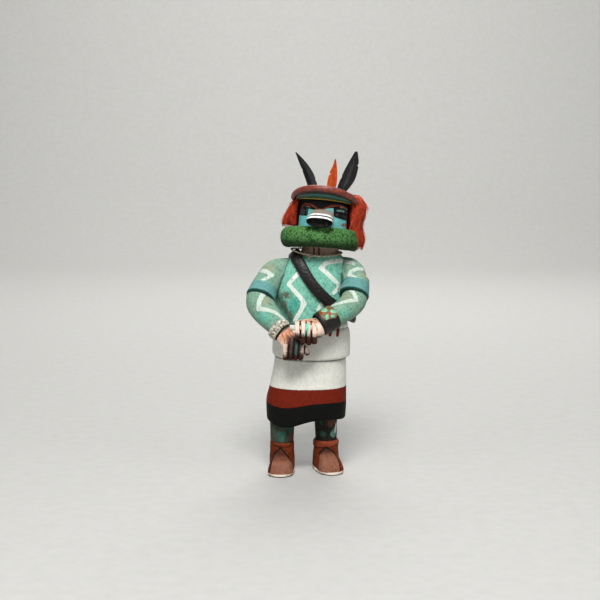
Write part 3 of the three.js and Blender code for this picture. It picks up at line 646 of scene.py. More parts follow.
# The face, unrolled: millimetres round the mask from its middle, and above its foot. It is black, with a
# stepped turquoise field below, red brows, and eyes made up of small coloured patches.
from_axis = co - HEAD_BASE
face_high = from_axis @ head_up
face_round = HEAD_RADIUS * np.arctan2(from_axis @ head_across, from_axis @ head_ahead)


def face_patch(*outline):
    return within(inside_outline(face_round, face_high, outline), masked + 0.5)


def face_line(width, *places):
    line = np.array(places, float)
    return within(width / 2 - from_line(np.stack([face_round, face_high], 1), line), masked + 0.5)


marks["mask_black"] = masked
marks["face_turquoise"] = face_patch(
    (-24.6, 6), (-24.8, 20.8), (-12.3, 21.4), (-12.0, 27.6), (-4, 27.0), (3.4, 29.2), (9.9, 30.2), (10.3, 22.7),
    (25.6, 19.6), (27, 6))
marks["brow_red"] = either(
    face_line(1.6, (-20.8, 27.6), (-18.5, 30.2), (-15.5, 31.4), (-9.1, 30.9), (-4.6, 28.9), (-0.6, 27.6)),
    face_line(1.6, (-0.6, 27.6), (3.1, 29.4), (7.4, 31.7), (12.0, 32.4), (17.6, 32.2), (24.6, 30.0)))
marks["brow_pink"] = either(
    face_line(1.1, (-19.6, 27.9), (-15.6, 29.3), (-10.4, 29.2)),
    face_line(1.3, (16.0, 31.2), (20.5, 30.7), (24.4, 29.0)))
marks["eye_mauve"] = either(
    face_patch((12.4, 26.0), (25.8, 24.0), (25.4, 21.6), (10.9, 23.4)),
    face_patch((-23.6, 26.2), (-16.0, 27.2), (-15.6, 22.2), (-23.2, 21.3)))
marks["eye_light"] = face_patch((11.8, 29.4), (19.0, 28.9), (26.4, 26.6), (25.8, 25.2), (18.0, 27.3), (12.2, 27.6))
marks["eye_green"] = either(
    face_patch((16.0, 21.6), (27.6, 21.2), (26.8, 18.6)),
    face_patch((-15.4, 27.4), (-12.2, 28.2), (-12.2, 22.0), (-14.2, 23.0)))
marks["cheek_red"] = face_patch((17.2, 15.4), (19.8, 17.6), (23.8, 19.0), (26.6, 17.2), (26.8, 14.6))

# Legs: grey-green, with a turquoise heart on the right one, and brown, turquoise and white on the left. Their
# colours are painted dark, partly as the shade under the kilt.
on_right = co[:, 0] < 0
marks["leg_green"] = np.where(on_right, legged + 0.8, -FAR)
marks["leg_brown"] = np.where(on_right, -FAR, legged + 0.8)
marks["leg_stain"] = within(legged, either(dabbed(22.5, 8, 42.5, 9, 6.5), dabbed(-11.5, 13, 31.5, 6, 7)))
marks["leg_teal"] = within(legged, either(
    dabbed(-22.3, 14, 35.2, 5.0, 4.6), dabbed(-18.0, 14, 35.0, 4.8, 4.6), dabbed(-19.8, 14, 31.4, 5.4, 6.4),
    dabbed(-12.2, 13, 39.4, 6.2, 7.2), dabbed(14.0, 9, 43.4, 4.4, 3.0), dabbed(15.4, 9, 33.6, 5.8, 4.4)))
marks["leg_turquoise"] = within(legged, either(dabbed(24.6, 8, 34.0, 7.0, 7.2), dabbed(25.0, 8, 37.0, 3.4, 3.6)))
marks["leg_white"] = within(legged, brushed(4, 2.4, [(26.8, 41.6), (26.4, 37.6), (26.0, 34.4)]))

# Moccasins: red-brown quarters with a turned cuff, a dusty pink vamp, a sunk seam between them, white soles.
# Painted shade darkens the seams, the cuff's edge, the right foot's outer quarter, the top of each vamp and the
# bottom of each sole.
# Seams and cuffs are followed through x and z as seen from in front; a cuff's places lie so far forward.
SEAMS = {
    "right": [(-30.6, 3.4), (-29.0, 10.6), (-26.4, 17.1), (-20.9, 22.6), (-14.5, 15.4), (-8.9, 7.0), (-8.2, 3.4)],
    "left": [
        (8.4, 3.4), (9.4, 9.6), (12.8, 16.7), (17.5, 21.8), (23.0, 18.9), (27.3, 14.5), (30.0, 8.8), (30.6, 3.4),
    ],
}
CUFFS = {
    "right": (15, [(-30.2, 27.6), (-26.5, 25.4), (-20.5, 23.4), (-14.5, 23.8), (-8.6, 26.4)]),
    "left": (10, [(8.6, 22.9), (13.7, 21.9), (19.7, 22.2), (29.1, 23.4)]),
}
VAMP_BACK = 3
SEAM_TOP = 22
TILT_STEP = 0.2
normals = np.empty(len(co) * 3)
figure.data.vertex_normals.foreach_get("vector", normals)
normals = normals.reshape(-1, 3)
seam = np.full(len(co), FAR)
vamp = np.full(len(co), -FAR)
cuff_line = np.full(len(co), FAR)
above_cuff = np.zeros(len(co))
for side, places in SEAMS.items():
    ankle, _, toe = foot_axes(side)
    ahead = (co - ankle) @ toe
    line = np.array(places, float)
    on_side = on_right == (side == "right")
    forefoot = on_side & (ahead > VAMP_BACK + 0.5 * np.maximum(SEAM_TOP - co[:, 2], 0))
    below_seam = co[:, 2] < np.interp(co[:, 0], line[:, 0], line[:, 1])
    # The gap is measured square to the view; over a surface that leans away it is that much wider.
    seen = co[:, [0, 2]]
    gap = from_line(seen, line)
    tilt_x, tilt_z = ((from_line(seen + step, line) - gap) / TILT_STEP for step in ([TILT_STEP, 0], [0, TILT_STEP]))
    lean = np.sqrt(np.maximum(1 - (tilt_x * normals[:, 0] + tilt_z * normals[:, 2]) ** 2, 0.3 ** 2))
    seam = np.where(forefoot & (normals @ toe > -0.05), within(seam, gap / lean), seam)
    vamp = np.where(forefoot, np.where(below_seam, gap, -gap), vamp)
    forward, cuff_places = CUFFS[side]
    cuff_places = np.array([seen_at(x, forward, z) for x, z in cuff_places])
    over_cuff = co[:, 2] - np.interp(co[:, 0], cuff_places[:, 0], cuff_places[:, 2])
    above_cuff = np.where(on_side, over_cuff, above_cuff)
    cuff_line = np.where(on_side, np.abs(over_cuff), cuff_line)
# The right moccasin's top edge dips in front, where the leg's paint fills it.
top_dip = np.clip(1 - ((co[:, 0] + 19.6) / 10) ** 2, 0, 1) * (co[:, 1] < -8)
top_edge = 29.4 - 3.4 * top_dip
marks["moccasin_brown"] = either(shod + 0.2, np.where(on_right, within(legged + 1, top_edge - co[:, 2]), -FAR))
# Painted shade: the right moccasin's outer quarter is darkened, as the side turned from the light.
marks["quarter_painted_shade"] = within(shod + 0.5, dabbed(-31.0, 10, 13.0, 9, 26))
marks["cuff_red"] = np.where(on_right, -FAR, within(shod + 0.3, above_cuff))
marks["vamp_pink"] = within(vamp, shod + 0.5)
# Painted shade: each vamp darkens towards its top, under the quarter's edge.
marks["vamp_painted_shade"] = within(vamp + 1, co[:, 2] - np.where(on_right, 14.5, 16.5))
# Painted shade: dark brown along the sunk seams and the cuff's edge.
marks["seam_painted_shade"] = within(either(0.72 - seam, 0.5 - cuff_line), shod + 0.5)
marks["sole_white"] = within(2.7 - co[:, 2], shod + 0.5)
# Painted shadow: the lowest part of each sole is dark brown, as the shadow where it meets the floor.
marks["sole_painted_shadow"] = within(0.8 - co[:, 2], shod + 0.5)

# Knife work that is too fine for the solid: sunk seams, a raised cuff, quarters a little proud of the vamp,
# and sunk gaps between the fingers.
SEAM_DEPTH = 0.75
CUFF_PROUD = 0.6
QUARTER_PROUD = 0.22
GAP_DEPTH = 0.5
on_foot = shod > 0
raised = CUFF_PROUD * np.clip(above_cuff / 0.7, 0, 1) * on_foot
raised -= SEAM_DEPTH * np.exp(-((seam / 0.8) ** 2)) * on_foot
raised += QUARTER_PROUD * np.clip(-vamp / 1.2, 0, 1) * on_foot * (co[:, 2] > 3.5) * (co[:, 2] < 23)
raised -= GAP_DEPTH * np.clip(1 - between / 1.3, 0, 1) * (handed > 0) * (finger_away[0] < 3.4)
co = co + normals * raised[:, None]
co[:, 2] = np.maximum(co[:, 2], 0)

# How far each point stands proud of its neighbours: high on edges, where paint wears, low in creases.
round_about = eased(co, figure.data, 1)
for _ in range(6):
    round_about = neighbour_mean(round_about, ends, len(co))
marks["proud"] = ((co - round_about) * normals).sum(1)
figure.data.vertices.foreach_set("co", ((co - MIDDLE) / 1000).ravel())
figure.data.update()
figure.data.shade_smooth()
for name, depth in marks.items():
    layer = figure.data.attributes.new(name, "FLOAT", "POINT")
    layer.data.foreach_set("value", np.clip(depth, -FAR, FAR).astype(np.float32))


def linear(hex_colour):
    """An sRGB hex colour as linear red, green, blue and alpha."""
    values = [int(hex_colour[i:i + 2], 16) / 255 for i in (1, 3, 5)]
    return (*(v / 12.92 if v <= 0.04045 else ((v + 0.055) / 1.055) ** 2.4 for v in values), 1)


def connected(made, inputs):
    """Set a node's inputs, each to a number, a hex colour or another node's output."""
    for socket, value in inputs.items():
        if isinstance(value, bpy.types.NodeSocket):
            made.id_data.links.new(value, made.inputs[socket])
        else:
            made.inputs[socket].default_value = linear(value) if isinstance(value, str) else value
    return made


def node(material, kind, inputs=None, stops=(), **settings):
    """Add a shader node with its settings and inputs; stops are the places and colours of a ramp."""
    made = material.node_tree.nodes.new("ShaderNode" + kind)
    for setting, value in settings.items():
        setattr(made, setting, value)
    for _ in stops[2:]:
        made.color_ramp.elements.new(1)
    for n, (position, colour) in enumerate(stops):
        made.color_ramp.elements[n].position = position
        made.color_ramp.elements[n].color = linear(colour)
    return connected(made, inputs or {})


def new_finish(name):
    """A new material, its shader, and the place on the piece, in metres, that its patterns follow."""
    material = bpy.data.materials.new(name)
    material.use_nodes = True
    return material, material.node_tree.nodes["Principled BSDF"], node(material, "TexCoord").outputs["Object"]


# Casein-like paint on cottonwood: dead matt and slightly chalky, with brush streaks, mottling two to four
# millimetres across, rubbed edges where the pale ground shows, and painted shade darkening the creases.
wood, shader, place = new_finish("matt paint on cottonwood")
streaked = node(wood, "Mapping", {"Vector": place, "Scale": (1, 1, 0.35)}).outputs[0]
mottle = node(wood, "TexNoise", {"Vector": place, "Scale": 260, "Detail": 3, "Roughness": 0.6}).outputs["Fac"]
streaks = node(wood, "TexNoise", {"Vector": streaked, "Scale": 900, "Detail": 2, "Roughness": 0.5}).outputs["Fac"]
tone = node(wood, "Math", {0: mottle, 1: streaks}, operation="ADD").outputs[0]
tone = node(wood, "MapRange", {"Value": tone, "From Min": 0.62, "From Max": 1.38}).outputs[0]
edge_wobble = node(wood, "TexNoise", {"Vector": place, "Scale": 620, "Detail": 2, "Roughness": 0.6}).outputs["Fac"]
edge_wobble = node(wood, "Math", {0: edge_wobble, 1: 0.5}, operation="SUBTRACT").outputs[0]

BODY_PAINTS = [
    # mark, darker tone, lighter tone, wander of the edge and its softness in millimetres
    ("pale_arms", "#5C8774", "#8CA892", 3.0, 1.6),
    ("arm_turquoise", "#4F9480", "#72B49E", 6.0, 4.0),
    ("cream_shoulder", "#78846B", "#999F82", 6.0, 3.0),
    ("deep_teal", "#3B8C7E", "#5FB5A1", 5.0, 2.2),
    ("shaded_side", "#33493F", "#4C7062", 7.0, 3.6),
    ("bare_wood", "#3F3A2E", "#6A7460", 6.0, 2.0),
    ("lightning", "#C6D2C8", "#EAEEE4", 1.0, 0.35),
    ("arm_lightning", "#A9B8AC", "#CDD5CA", 1.0, 0.35),
]
OTHER_PAINTS = [
    ("blue_band", "#4B7E7A", "#6B9A94", 0.6, 0.25),
    ("band_edge", "#17403A", "#2A5A4E", 0.6, 0.25),
    ("neck_white_with_painted_shade", "#8C7162", "#B09886", 1.0, 0.4),
    ("neck_red", "#4A2A20", "#6B3E30", 0.8, 0.25),
    ("cotton_white", "#CBCAC0", "#E3E2D9", 0.4, 0.15),
    ("red_border", "#5C1407", "#75210B", 0.9, 0.25),
    ("black_border", "#060505", "#0E0D0C", 0.9, 0.25),
    ("waist_red", "#5E1D12", "#92351F", 0.6, 0.3),
    ("hand_white", "#D6B29C", "#EEDACB", 0.6, 0.3),
    ("hand_orange", "#B87A58", "#DDA98A", 4.5, 2.2),
    ("hand_painted_shade", "#2C201D", "#5E4C47", 5.0, 2.2),
    ("finger_ends", "#23100B", "#532E26", 5.0, 2.6),
    ("wrist_gap_shade", "#20140D", "#3A2A1E", 0.8, 0.4),
    ("hand_lines", "#8A4A30", "#A8664A", 0.8, 0.3),
    ("turquoise_fingers", "#5FA78F", "#9AD8BE", 0.8, 0.3),
    ("turquoise_in_painted_shade", "#27443C", "#3E665A", 0.8, 0.3),
    ("finger_gaps", "#180A06", "#2C140E", 0.5, 0.3),
    ("mask_black", "#090808", "#131211", 0.6, 0.3),
    ("face_turquoise", "#4D9C9C", "#7FC4C1", 0.8, 0.25),
    ("eye_mauve", "#30272D", "#483B43", 0.7, 0.3),
    ("eye_green", "#10312A", "#1F4A3F", 0.7, 0.3),
    ("eye_light", "#4E7672", "#75958F", 0.7, 0.3),
    ("cheek_red", "#6E3B31", "#A06A5C", 0.9, 0.4),
    ("brow_red", "#5A2215", "#7D3827", 0.6, 0.25),
    ("brow_pink", "#6E5C58", "#93807A", 0.6, 0.3),
    ("leg_green", "#2B3129", "#4A5142", 1.5, 0.6),
    ("leg_brown", "#171510", "#33312A", 1.5, 0.6),
    ("leg_stain", "#4C3027", "#6E4A3E", 2.5, 0.8),
    ("leg_teal", "#28463E", "#416D60", 2.0, 0.7),
    ("leg_turquoise", "#3F665C", "#74A192", 2.0, 0.6),
    ("leg_white", "#C4C5BA", "#E2E3D8", 0.7, 0.3),
    ("moccasin_brown", "#4E1B08", "#853810", 0.8, 0.3),
    ("quarter_painted_shade", "#42180B", "#5E2612", 5.0, 4.0),
    ("cuff_red", "#76301D", "#98492F", 4.0, 0.5),
    ("vamp_pink", "#6B4030", "#94634D", 0.8, 0.4),
    ("vamp_painted_shade", "#301209", "#4E261A", 3.0, 4.0),
    ("seam_painted_shade", "#220B05", "#3C170A", 0.5, 0.3),
    ("sole_white", "#CDB6A4", "#F2E8DA", 0.8, 0.3),
    ("sole_painted_shadow", "#3A241A", "#52382A", 0.6, 0.3),
]


def layered(colour, paints):
    """Paint each mark over the colour, with an edge that wanders as a hand-held brush does."""
    for mark, dark, light, wander, softness in paints:
        paint = node(wood, "Mix", {0: tone, 6: dark, 7: light}, data_type="RGBA").outputs[2]
        depth = node(wood, "Attribute", attribute_name=mark).outputs["Fac"]
        depth = node(wood, "Math", {0: edge_wobble, 1: wander, 2: depth}, operation="MULTIPLY_ADD").outputs[0]
        cover = node(
            wood, "MapRange", {"Value": depth, "From Min": -softness, "From Max": softness},
            interpolation_type="SMOOTHSTEP")
        colour = node(wood, "Mix", {0: cover.outputs[0], 6: colour, 7: paint}, data_type="RGBA").outputs[2]
    return colour


colour = node(wood, "Mix", {0: tone, 6: "#5B9C8A", 7: "#8CCDB6"}, data_type="RGBA").outputs[2]
colour = layered(colour, BODY_PAINTS)

# Wear on the body paint: dark flecks where it has pitted, and pale ground on the proud edges. Then the other
# colours, and painted shade darkening every hollow.
proud = node(wood, "Attribute", attribute_name="proud").outputs["Fac"]
flecks = node(wood, "TexNoise", {"Vector": place, "Scale": 560, "Detail": 3, "Roughness": 0.7}).outputs["Fac"]
flecks = node(wood, "MapRange", {"Value": flecks, "From Min": 0.55, "From Max": 0.68, "To Max": 0.62}).outputs[0]
colour = node(wood, "Mix", {0: flecks, 6: colour, 7: "#5A6A5C"}, data_type="RGBA", blend_type="MULTIPLY").outputs[2]
rubbed = node(wood, "Math", {0: edge_wobble, 1: 0.2, 2: proud}, operation="MULTIPLY_ADD").outputs[0]
rubbed = node(wood, "MapRange", {"Value": rubbed, "From Min": 0.08, "From Max": 0.2, "To Max": 0.3}).outputs[0]
colour = node(wood, "Mix", {0: rubbed, 6: colour, 7: "#B9BFA8"}, data_type="RGBA").outputs[2]
colour = layered(colour, OTHER_PAINTS)
# Painted shade: a dark brown laid over every hollow, darker the deeper the hollow.
crease_shade = node(wood, "Math", {0: edge_wobble, 1: 0.1, 2: proud}, operation="MULTIPLY_ADD").outputs[0]
crease_shade = node(wood, "MapRange", {"Value": crease_shade, "From Min": -0.05, "From Max": -0.22, "To Max": 0.7}).outputs[0]
colour = node(wood, "Mix", {0: crease_shade, 6: colour, 7: "#1E1A16"}, data_type="RGBA").outputs[2]
grain = node(wood, "Mapping", {"Vector": place, "Scale": (1, 1, 0.06)}).outputs[0]
grain = node(wood, "TexNoise", {"Vector": grain, "Scale": 1100, "Detail": 2, "Roughness": 0.5}).outputs["Fac"]
relief = node(wood, "Math", {0: grain, 1: 0.5, 2: flecks}, operation="MULTIPLY_ADD").outputs[0]
relief = node(wood, "Math", {0: mottle, 1: 0.6, 2: relief}, operation="MULTIPLY_ADD").outputs[0]
bump = node(wood, "Bump", {"Height": relief, "Strength": 0.5, "Distance": 0.0006})
sheen = node(wood, "MapRange", {"Value": mottle, "To Min": 0.62, "To Max": 0.82}).outputs[0]
connected(shader, {"Base Color": colour, "Roughness": sheen, "Specular IOR Level": 0.12, "Normal": bump.outputs[0]})
figure.data.materials.append(wood)
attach(figure, "root")
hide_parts("carved_figure")

# The visor is a turned-up wooden peak glued round the brow, with a thick rim rounded over like a roll. It is
# painted red-brown above and on the rim, and in stripes of turquoise, green and yellow below; the rim's
# underside is painted a darker red-brown as painted shade.
VISOR_HEIGHT = 33.4
VISOR_SPREAD = 1.62
RIM_RADIUS = 2.6
VISOR_STEPS = 150
VISOR_SLOPE = 17
VISOR_HALF_THICK = 0.9
RIM_TURNS = np.radians(np.linspace(125, -125, 25))


def visor_edge(bearing, share):
    c = math.cos(bearing)
    s = math.sin(bearing)
    inner = HEAD_RADIUS + 0.5
    across = (inner + (26.6 - inner) * share) * s
    ahead = (inner + (31 - inner) * share) * c
    return on_head(across, ahead, VISOR_HEIGHT + 3.3 * c + (12.6 - 3.3) * c * share)


def as_piece(name, points, faces, material, slot, *nodes, **levels):
    """A finished piece in metres that stands for its solid; levels are values kept at its points."""
    mesh = bpy.data.meshes.new(name)
    mesh.from_pydata(((points - MIDDLE) / 1000).tolist(), [], faces)
    mesh.shade_smooth()
    mesh.materials.append(material)
    for level, values in levels.items():
        layer = mesh.attributes.new(level, "FLOAT", "POINT")
        layer.data.foreach_set("value", np.asarray(values, np.float32).ravel())
    made = bpy.data.objects.new(name, mesh)
    bpy.context.scene.collection.objects.link(made)
    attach(made, "root")
    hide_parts(*nodes)
    return made


def rough_noise(points, size, seed=0.0):
    """Soft lumps of about this size in millimetres, from -1 to 1, at these points."""
    return np.array([noise.noise(Vector(p / size) + Vector((seed, 0, 0))) for p in points])


slices = []
under = []
for i in range(VISOR_STEPS + 1):
    bearing = VISOR_SPREAD * (2 * i / VISOR_STEPS - 1)
    inner = visor_edge(bearing, 0)
    edge = visor_edge(bearing, 1)
    along = unit(visor_edge(bearing + 0.02, 1) - visor_edge(bearing - 0.02, 1))
    out = edge - inner
    out = unit(out - along * (out @ along))
    over = unit(np.cross(out, along))
    end = min(i, VISOR_STEPS - i) / 8
    radius = RIM_RADIUS * (0.6 + 0.4 * min(1, end))
    rim = [edge + out * radius * math.cos(turn) + over * radius * math.sin(turn) for turn in RIM_TURNS]
    slope = [inner + (edge - inner) * t for t in np.linspace(0, 0.9, VISOR_SLOPE)]
    upper = [p + over * VISOR_HALF_THICK for p in slope]
    lower = [p - over * VISOR_HALF_THICK for p in slope[::-1]]
    slices.append(upper + rim + lower)
    under += [1.6] * (VISOR_SLOPE + len(RIM_TURNS) - 2) + [1.0, 0.95] + list(np.linspace(0.9, 0, VISOR_SLOPE))
visor_points, visor_faces = skin(slices)
visor_points = visor_points + np.outer(rough_noise(visor_points, 5.0), head_up) * 0.16

# Poster paint on sanded wood, handled until it has a soft gloss: red-brown with darker brush lines.
visor_paint, shader, place = new_finish("burnished red poster paint")
mottle = node(visor_paint, "TexNoise", {"Vector": place, "Scale": 330, "Detail": 3}).outputs["Fac"]
tone = node(visor_paint, "MapRange", {"Value": mottle, "From Min": 0.35, "From Max": 0.65}).outputs[0]
red = node(visor_paint, "Mix", {0: tone, 6: "#5A2015", 7: "#8C3D2C"}, data_type="RGBA").outputs[2]
depth = node(visor_paint, "Attribute", attribute_name="under").outputs["Fac"]
depth = node(visor_paint, "Math", {0: mottle, 1: 0.12, 2: depth}, operation="MULTIPLY_ADD").outputs[0]
# Stripes from the root out; the last, dark red-brown, is painted shade under the rim.
STRIPES = [
    (0, "#0B0A0A"), (0.07, "#98802A"), (0.19, "#163F24"), (0.37, "#32655F"), (0.60, "#0F0908"), (0.75, "#3E140C"),
]
stripes = node(visor_paint, "ValToRGB", {"Fac": depth}, STRIPES)
stripes.color_ramp.interpolation = "CONSTANT"
on_rim = node(visor_paint, "Math", {0: depth, 1: 1.04}, operation="GREATER_THAN").outputs[0]
colour = node(visor_paint, "Mix", {0: on_rim, 6: stripes.outputs[0], 7: red}, data_type="RGBA").outputs[2]
bump = node(visor_paint, "Bump", {"Height": mottle, "Strength": 0.3, "Distance": 0.0004})
sheen = node(visor_paint, "MapRange", {"Value": mottle, "To Min": 0.36, "To Max": 0.56}).outputs[0]
connected(shader, {"Base Color": colour, "Roughness": sheen, "Normal": bump.outputs[0]})
as_piece("visor_peak", visor_points, visor_faces, visor_paint, "visor_paint", "visor", under=under)

# The snout is a broad flat muzzle of wood pegged to the middle of the mask. It droops a little, is dished at
# the end, and has two white rings round it.
SNOUT_HEIGHT = 26.3
SNOUT_ROOT = 12
SNOUT_DROOP = math.radians(17)
SNOUT_ROWS = 96
SNOUT_SIDES = 84
SNOUT = [
    (14, 9.4, 4.6), (20, 9.6, 4.7), (27, 9.9, 4.7), (32.5, 10.4, 4.75), (36.6, 10.8, 4.75), (37.6, 10.8, 4.65),
    (38.2, 10.6, 4.45),
    (38.5, 10.3, 4.1), (38.5, 9.6, 3.5), (38.1, 9.1, 3.1), (37.3, 8.8, 2.85), (36.9, 8.4, 2.6),
]
snout_out = head_ahead * math.cos(SNOUT_DROOP) - head_up * math.sin(SNOUT_DROOP)
snout_over = head_up * math.cos(SNOUT_DROOP) + head_ahead * math.sin(SNOUT_DROOP)
rings = []
along = []
row_at = np.linspace(0, len(SNOUT) - 1, SNOUT_ROWS)
for t, (reach, half_wide, half_high) in zip(row_at, smooth_through(SNOUT, row_at)):
    centre = on_head(0.6, SNOUT_ROOT, SNOUT_HEIGHT) + snout_out * (reach - SNOUT_ROOT)
    rings.append(ring(centre, head_across, snout_over, half_wide, half_high, SNOUT_SIDES, 2.3))
    for j in range(SNOUT_SIDES):
        further = max(0, t - 6.5) * 1.6 - 2.8 * max(0, math.sin(2 * math.pi * j / SNOUT_SIDES))
        along.append(min(max(reach, 38.2 if t > 6 else 0) + further, 41.0))
snout_points, snout_faces = skin(rings)
snout_points = snout_points + (snout_points - snout_points.mean(0)) * 0.012 * rough_noise(snout_points, 4.0)[:, None]

# Black and white paint laid in rings by hand, so that their edges waver; the black is a little glossy.
snout_paint, shader, place = new_finish("ringed black and white paint")
mottle = node(snout_paint, "TexNoise", {"Vector": place, "Scale": 420, "Detail": 3}).outputs["Fac"]
reach = node(snout_paint, "Attribute", attribute_name="reach").outputs["Fac"]
reach = node(snout_paint, "Math", {0: mottle, 1: 1.4, 2: reach}, operation="MULTIPLY_ADD").outputs[0]
reach = node(snout_paint, "Math", {0: reach, 1: 41.0}, operation="DIVIDE").outputs[0]
rings = node(snout_paint, "ValToRGB", {"Fac": reach})
rings.color_ramp.interpolation = "CONSTANT"
SNOUT_RINGS = [(0, "#857F71"), (28.0, "#E4E5E0"), (31.9, "#0B0A0A"), (34.4, "#E9EAE5"), (37.5, "#050505")]
while len(rings.color_ramp.elements) < len(SNOUT_RINGS):
    rings.color_ramp.elements.new(1)
for stop, (position, paint) in zip(rings.color_ramp.elements, SNOUT_RINGS):
    stop.position = position / 41.0
    stop.color = linear(paint)
worn = node(snout_paint, "MapRange", {"Value": mottle, "From Min": 0.5, "From Max": 0.75, "To Max": 0.3}).outputs[0]
colour = node(snout_paint, "Mix", {0: worn, 6: rings.outputs[0], 7: "#4A4640"}, data_type="RGBA").outputs[2]
bump = node(snout_paint, "Bump", {"Height": mottle, "Strength": 0.3, "Distance": 0.0004})
sheen = node(snout_paint, "MapRange", {"Value": mottle, "To Min": 0.4, "To Max": 0.62}).outputs[0]
connected(shader, {"Base Color": colour, "Roughness": sheen, "Specular IOR Level": 0.08, "Normal": bump.outputs[0]})
as_piece("snout_muzzle", snout_points, snout_faces, snout_paint, "snout_paint", "snout", reach=along)

# The ruff is a fat wooden ring, slipped up under the mask and dabbed all over with thick green paint to look
# like spruce twigs. The dabs are a millimetre or so across and stand a third of a millimetre high.
RUFF = {"hole": 22.4, "hole_x": 14.8, "outside": 33.1, "outside_x": 12.2, "forward": 0.5, "z": 200.2, "high": 8.6}
RUFF_STEPS = 520
RUFF_SIDES = 150
DAB_SIZE = 1.5
DAB_HEIGHT = 0.5


def ruff_middle(bearing):
    tilt = 4.4 if math.cos(bearing) > 0 else 1.8
    z = RUFF["z"] + tilt * math.cos(bearing) - 1.9 * math.sin(bearing)
    out = np.array([math.sin(bearing), -math.cos(bearing), 0])
    inside = spot(RUFF["hole_x"], RUFF["forward"], z) + out * RUFF["hole"]
    outside = spot(RUFF["outside_x"], RUFF["forward"], z) + out * RUFF["outside"]
    return inside, outside, out


rings = []
away_from_tube = []
below = []
for i in range(RUFF_STEPS):
    inside, outside, out = ruff_middle(2 * math.pi * i / RUFF_STEPS)
    thick = np.linalg.norm(outside - inside) / 2
    middle = (inside + outside) / 2
    rings.append(ring(middle, out, UP, thick, RUFF["high"], RUFF_SIDES, 2.2))
    away_from_tube.append(rings[-1] - middle)
    below += list((middle[2] - rings[-1][:, 2]) / RUFF["high"])
ruff_points, ruff_faces = skin(rings, looped=True)
away_from_tube = np.concatenate(away_from_tube)
away_from_tube /= np.linalg.norm(away_from_tube, axis=1)[:, None]
dabs = np.array([1 - min(1, noise.voronoi(Vector(p / DAB_SIZE))[0][0] * 1.5) for p in ruff_points])
dabs = dabs ** 0.7 + 0.35 * rough_noise(ruff_points, 3.4)
ruff_points = ruff_points + away_from_tube * (dabs[:, None] - 0.6) * DAB_HEIGHT

# Stippled green: lighter green the higher a dab stands, and black-green between the dabs. The underside is
# painted darker, as painted shade.
ruff_paint, shader, place = new_finish("stippled green paint")
mottle = node(ruff_paint, "TexNoise", {"Vector": place, "Scale": 520, "Detail": 3, "Roughness": 0.7}).outputs["Fac"]
raised = node(ruff_paint, "Attribute", attribute_name="dabs").outputs["Fac"]
raised = node(ruff_paint, "Math", {0: mottle, 1: 1.1, 2: raised}, operation="MULTIPLY_ADD").outputs[0]
GREENS = [(0.2, "#12260F"), (0.6, "#2A4E25"), (1.0, "#4C7A42")]
greens = node(ruff_paint, "ValToRGB", {"Fac": raised}, GREENS)
# Painted shade: darker green the further a point lies below the middle of the ring's tube.
underside_shade = node(ruff_paint, "Attribute", attribute_name="below").outputs["Fac"]
underside_shade = node(
    ruff_paint, "MapRange", {"Value": underside_shade, "From Min": -0.1, "From Max": 0.75, "To Max": 0.8},
    interpolation_type="SMOOTHSTEP").outputs[0]
colour = node(ruff_paint, "Mix", {0: underside_shade, 6: greens.outputs[0], 7: "#0F1C0C"}, data_type="RGBA").outputs[2]
bump = node(ruff_paint, "Bump", {"Height": raised, "Strength": 0.4, "Distance": 0.0004})
connected(shader, {"Base Color": colour, "Roughness": 0.85, "Specular IOR Level": 0.15, "Normal": bump.outputs[0]})
as_piece("green_ruff", ruff_points, ruff_faces, ruff_paint, "ruff_paint", "ruff", dabs=dabs, below=below)

# The hair is red-dyed horsehair, glued in a fringe from temple to temple round the back of the mask. A matted
# layer lies underneath, single strands over it, and short loose ones stand out.
HAIR = [
    (0, 36.4, 34.4, 34.8), (0.18, 35, 35.4, 35), (0.4, 31.6, 34, 31.8), (0.62, 28, 31.6, 33.4),
    (0.82, 23.6, 28.8, 34), (1, 21.4, 24, 28.6),
]
HAIR_ENDS = {"right": 11.2, "behind": -6.0, "left": -2.4}
HAIR_TOP = 41.0
HAIR_START = 1.28
HAIR_SPAN = 2 * math.pi - 2 * HAIR_START
LONG_STRANDS = 3000
LOOSE_STRANDS = 1500
STRAND_POINTS = 7
STRAND_SIDES = 3
HAIR_SLICES = 240


def hair_shape(bearing):
    """The hair's rows of height and reach at a bearing round the mask."""
    s = math.sin(bearing)
    side = "left" if s > 0 else "right"
    sideways = min(1, max(0, (abs(s) - 0.2) / 0.75))
    sideways = sideways * sideways * (3 - 2 * sideways)
    low = HAIR_ENDS["behind"] + (HAIR_ENDS[side] - HAIR_ENDS["behind"]) * sideways
    from_start = min(bearing - HAIR_START, 2 * math.pi - HAIR_START - bearing)
    fullness = min(1, 0.45 + 0.28 * from_start / (HAIR_SPAN / 16))
    rows = []
    for share, right, behind, left in HAIR:
        reach = behind + ((left if side == "left" else right) - behind) * sideways
        rows.append((low + (HAIR_TOP - low) * share, HEAD_RADIUS + (reach - HEAD_RADIUS) * fullness))
    return rows


HAIR_COLUMNS = 241
HAIR_LEVELS = 81
hair_bearings = HAIR_START + HAIR_SPAN * np.linspace(-0.02, 1.02, HAIR_COLUMNS)
hair_levels = np.linspace(-0.12, 1.0, HAIR_LEVELS)
at_rows = np.interp(hair_levels, [row[0] for row in HAIR], range(len(HAIR)))
hair_sheet = np.array([smooth_through(hair_shape(b), at_rows) for b in hair_bearings])
hair_sheet[:, :, 0] += np.minimum(0, hair_levels) * 45


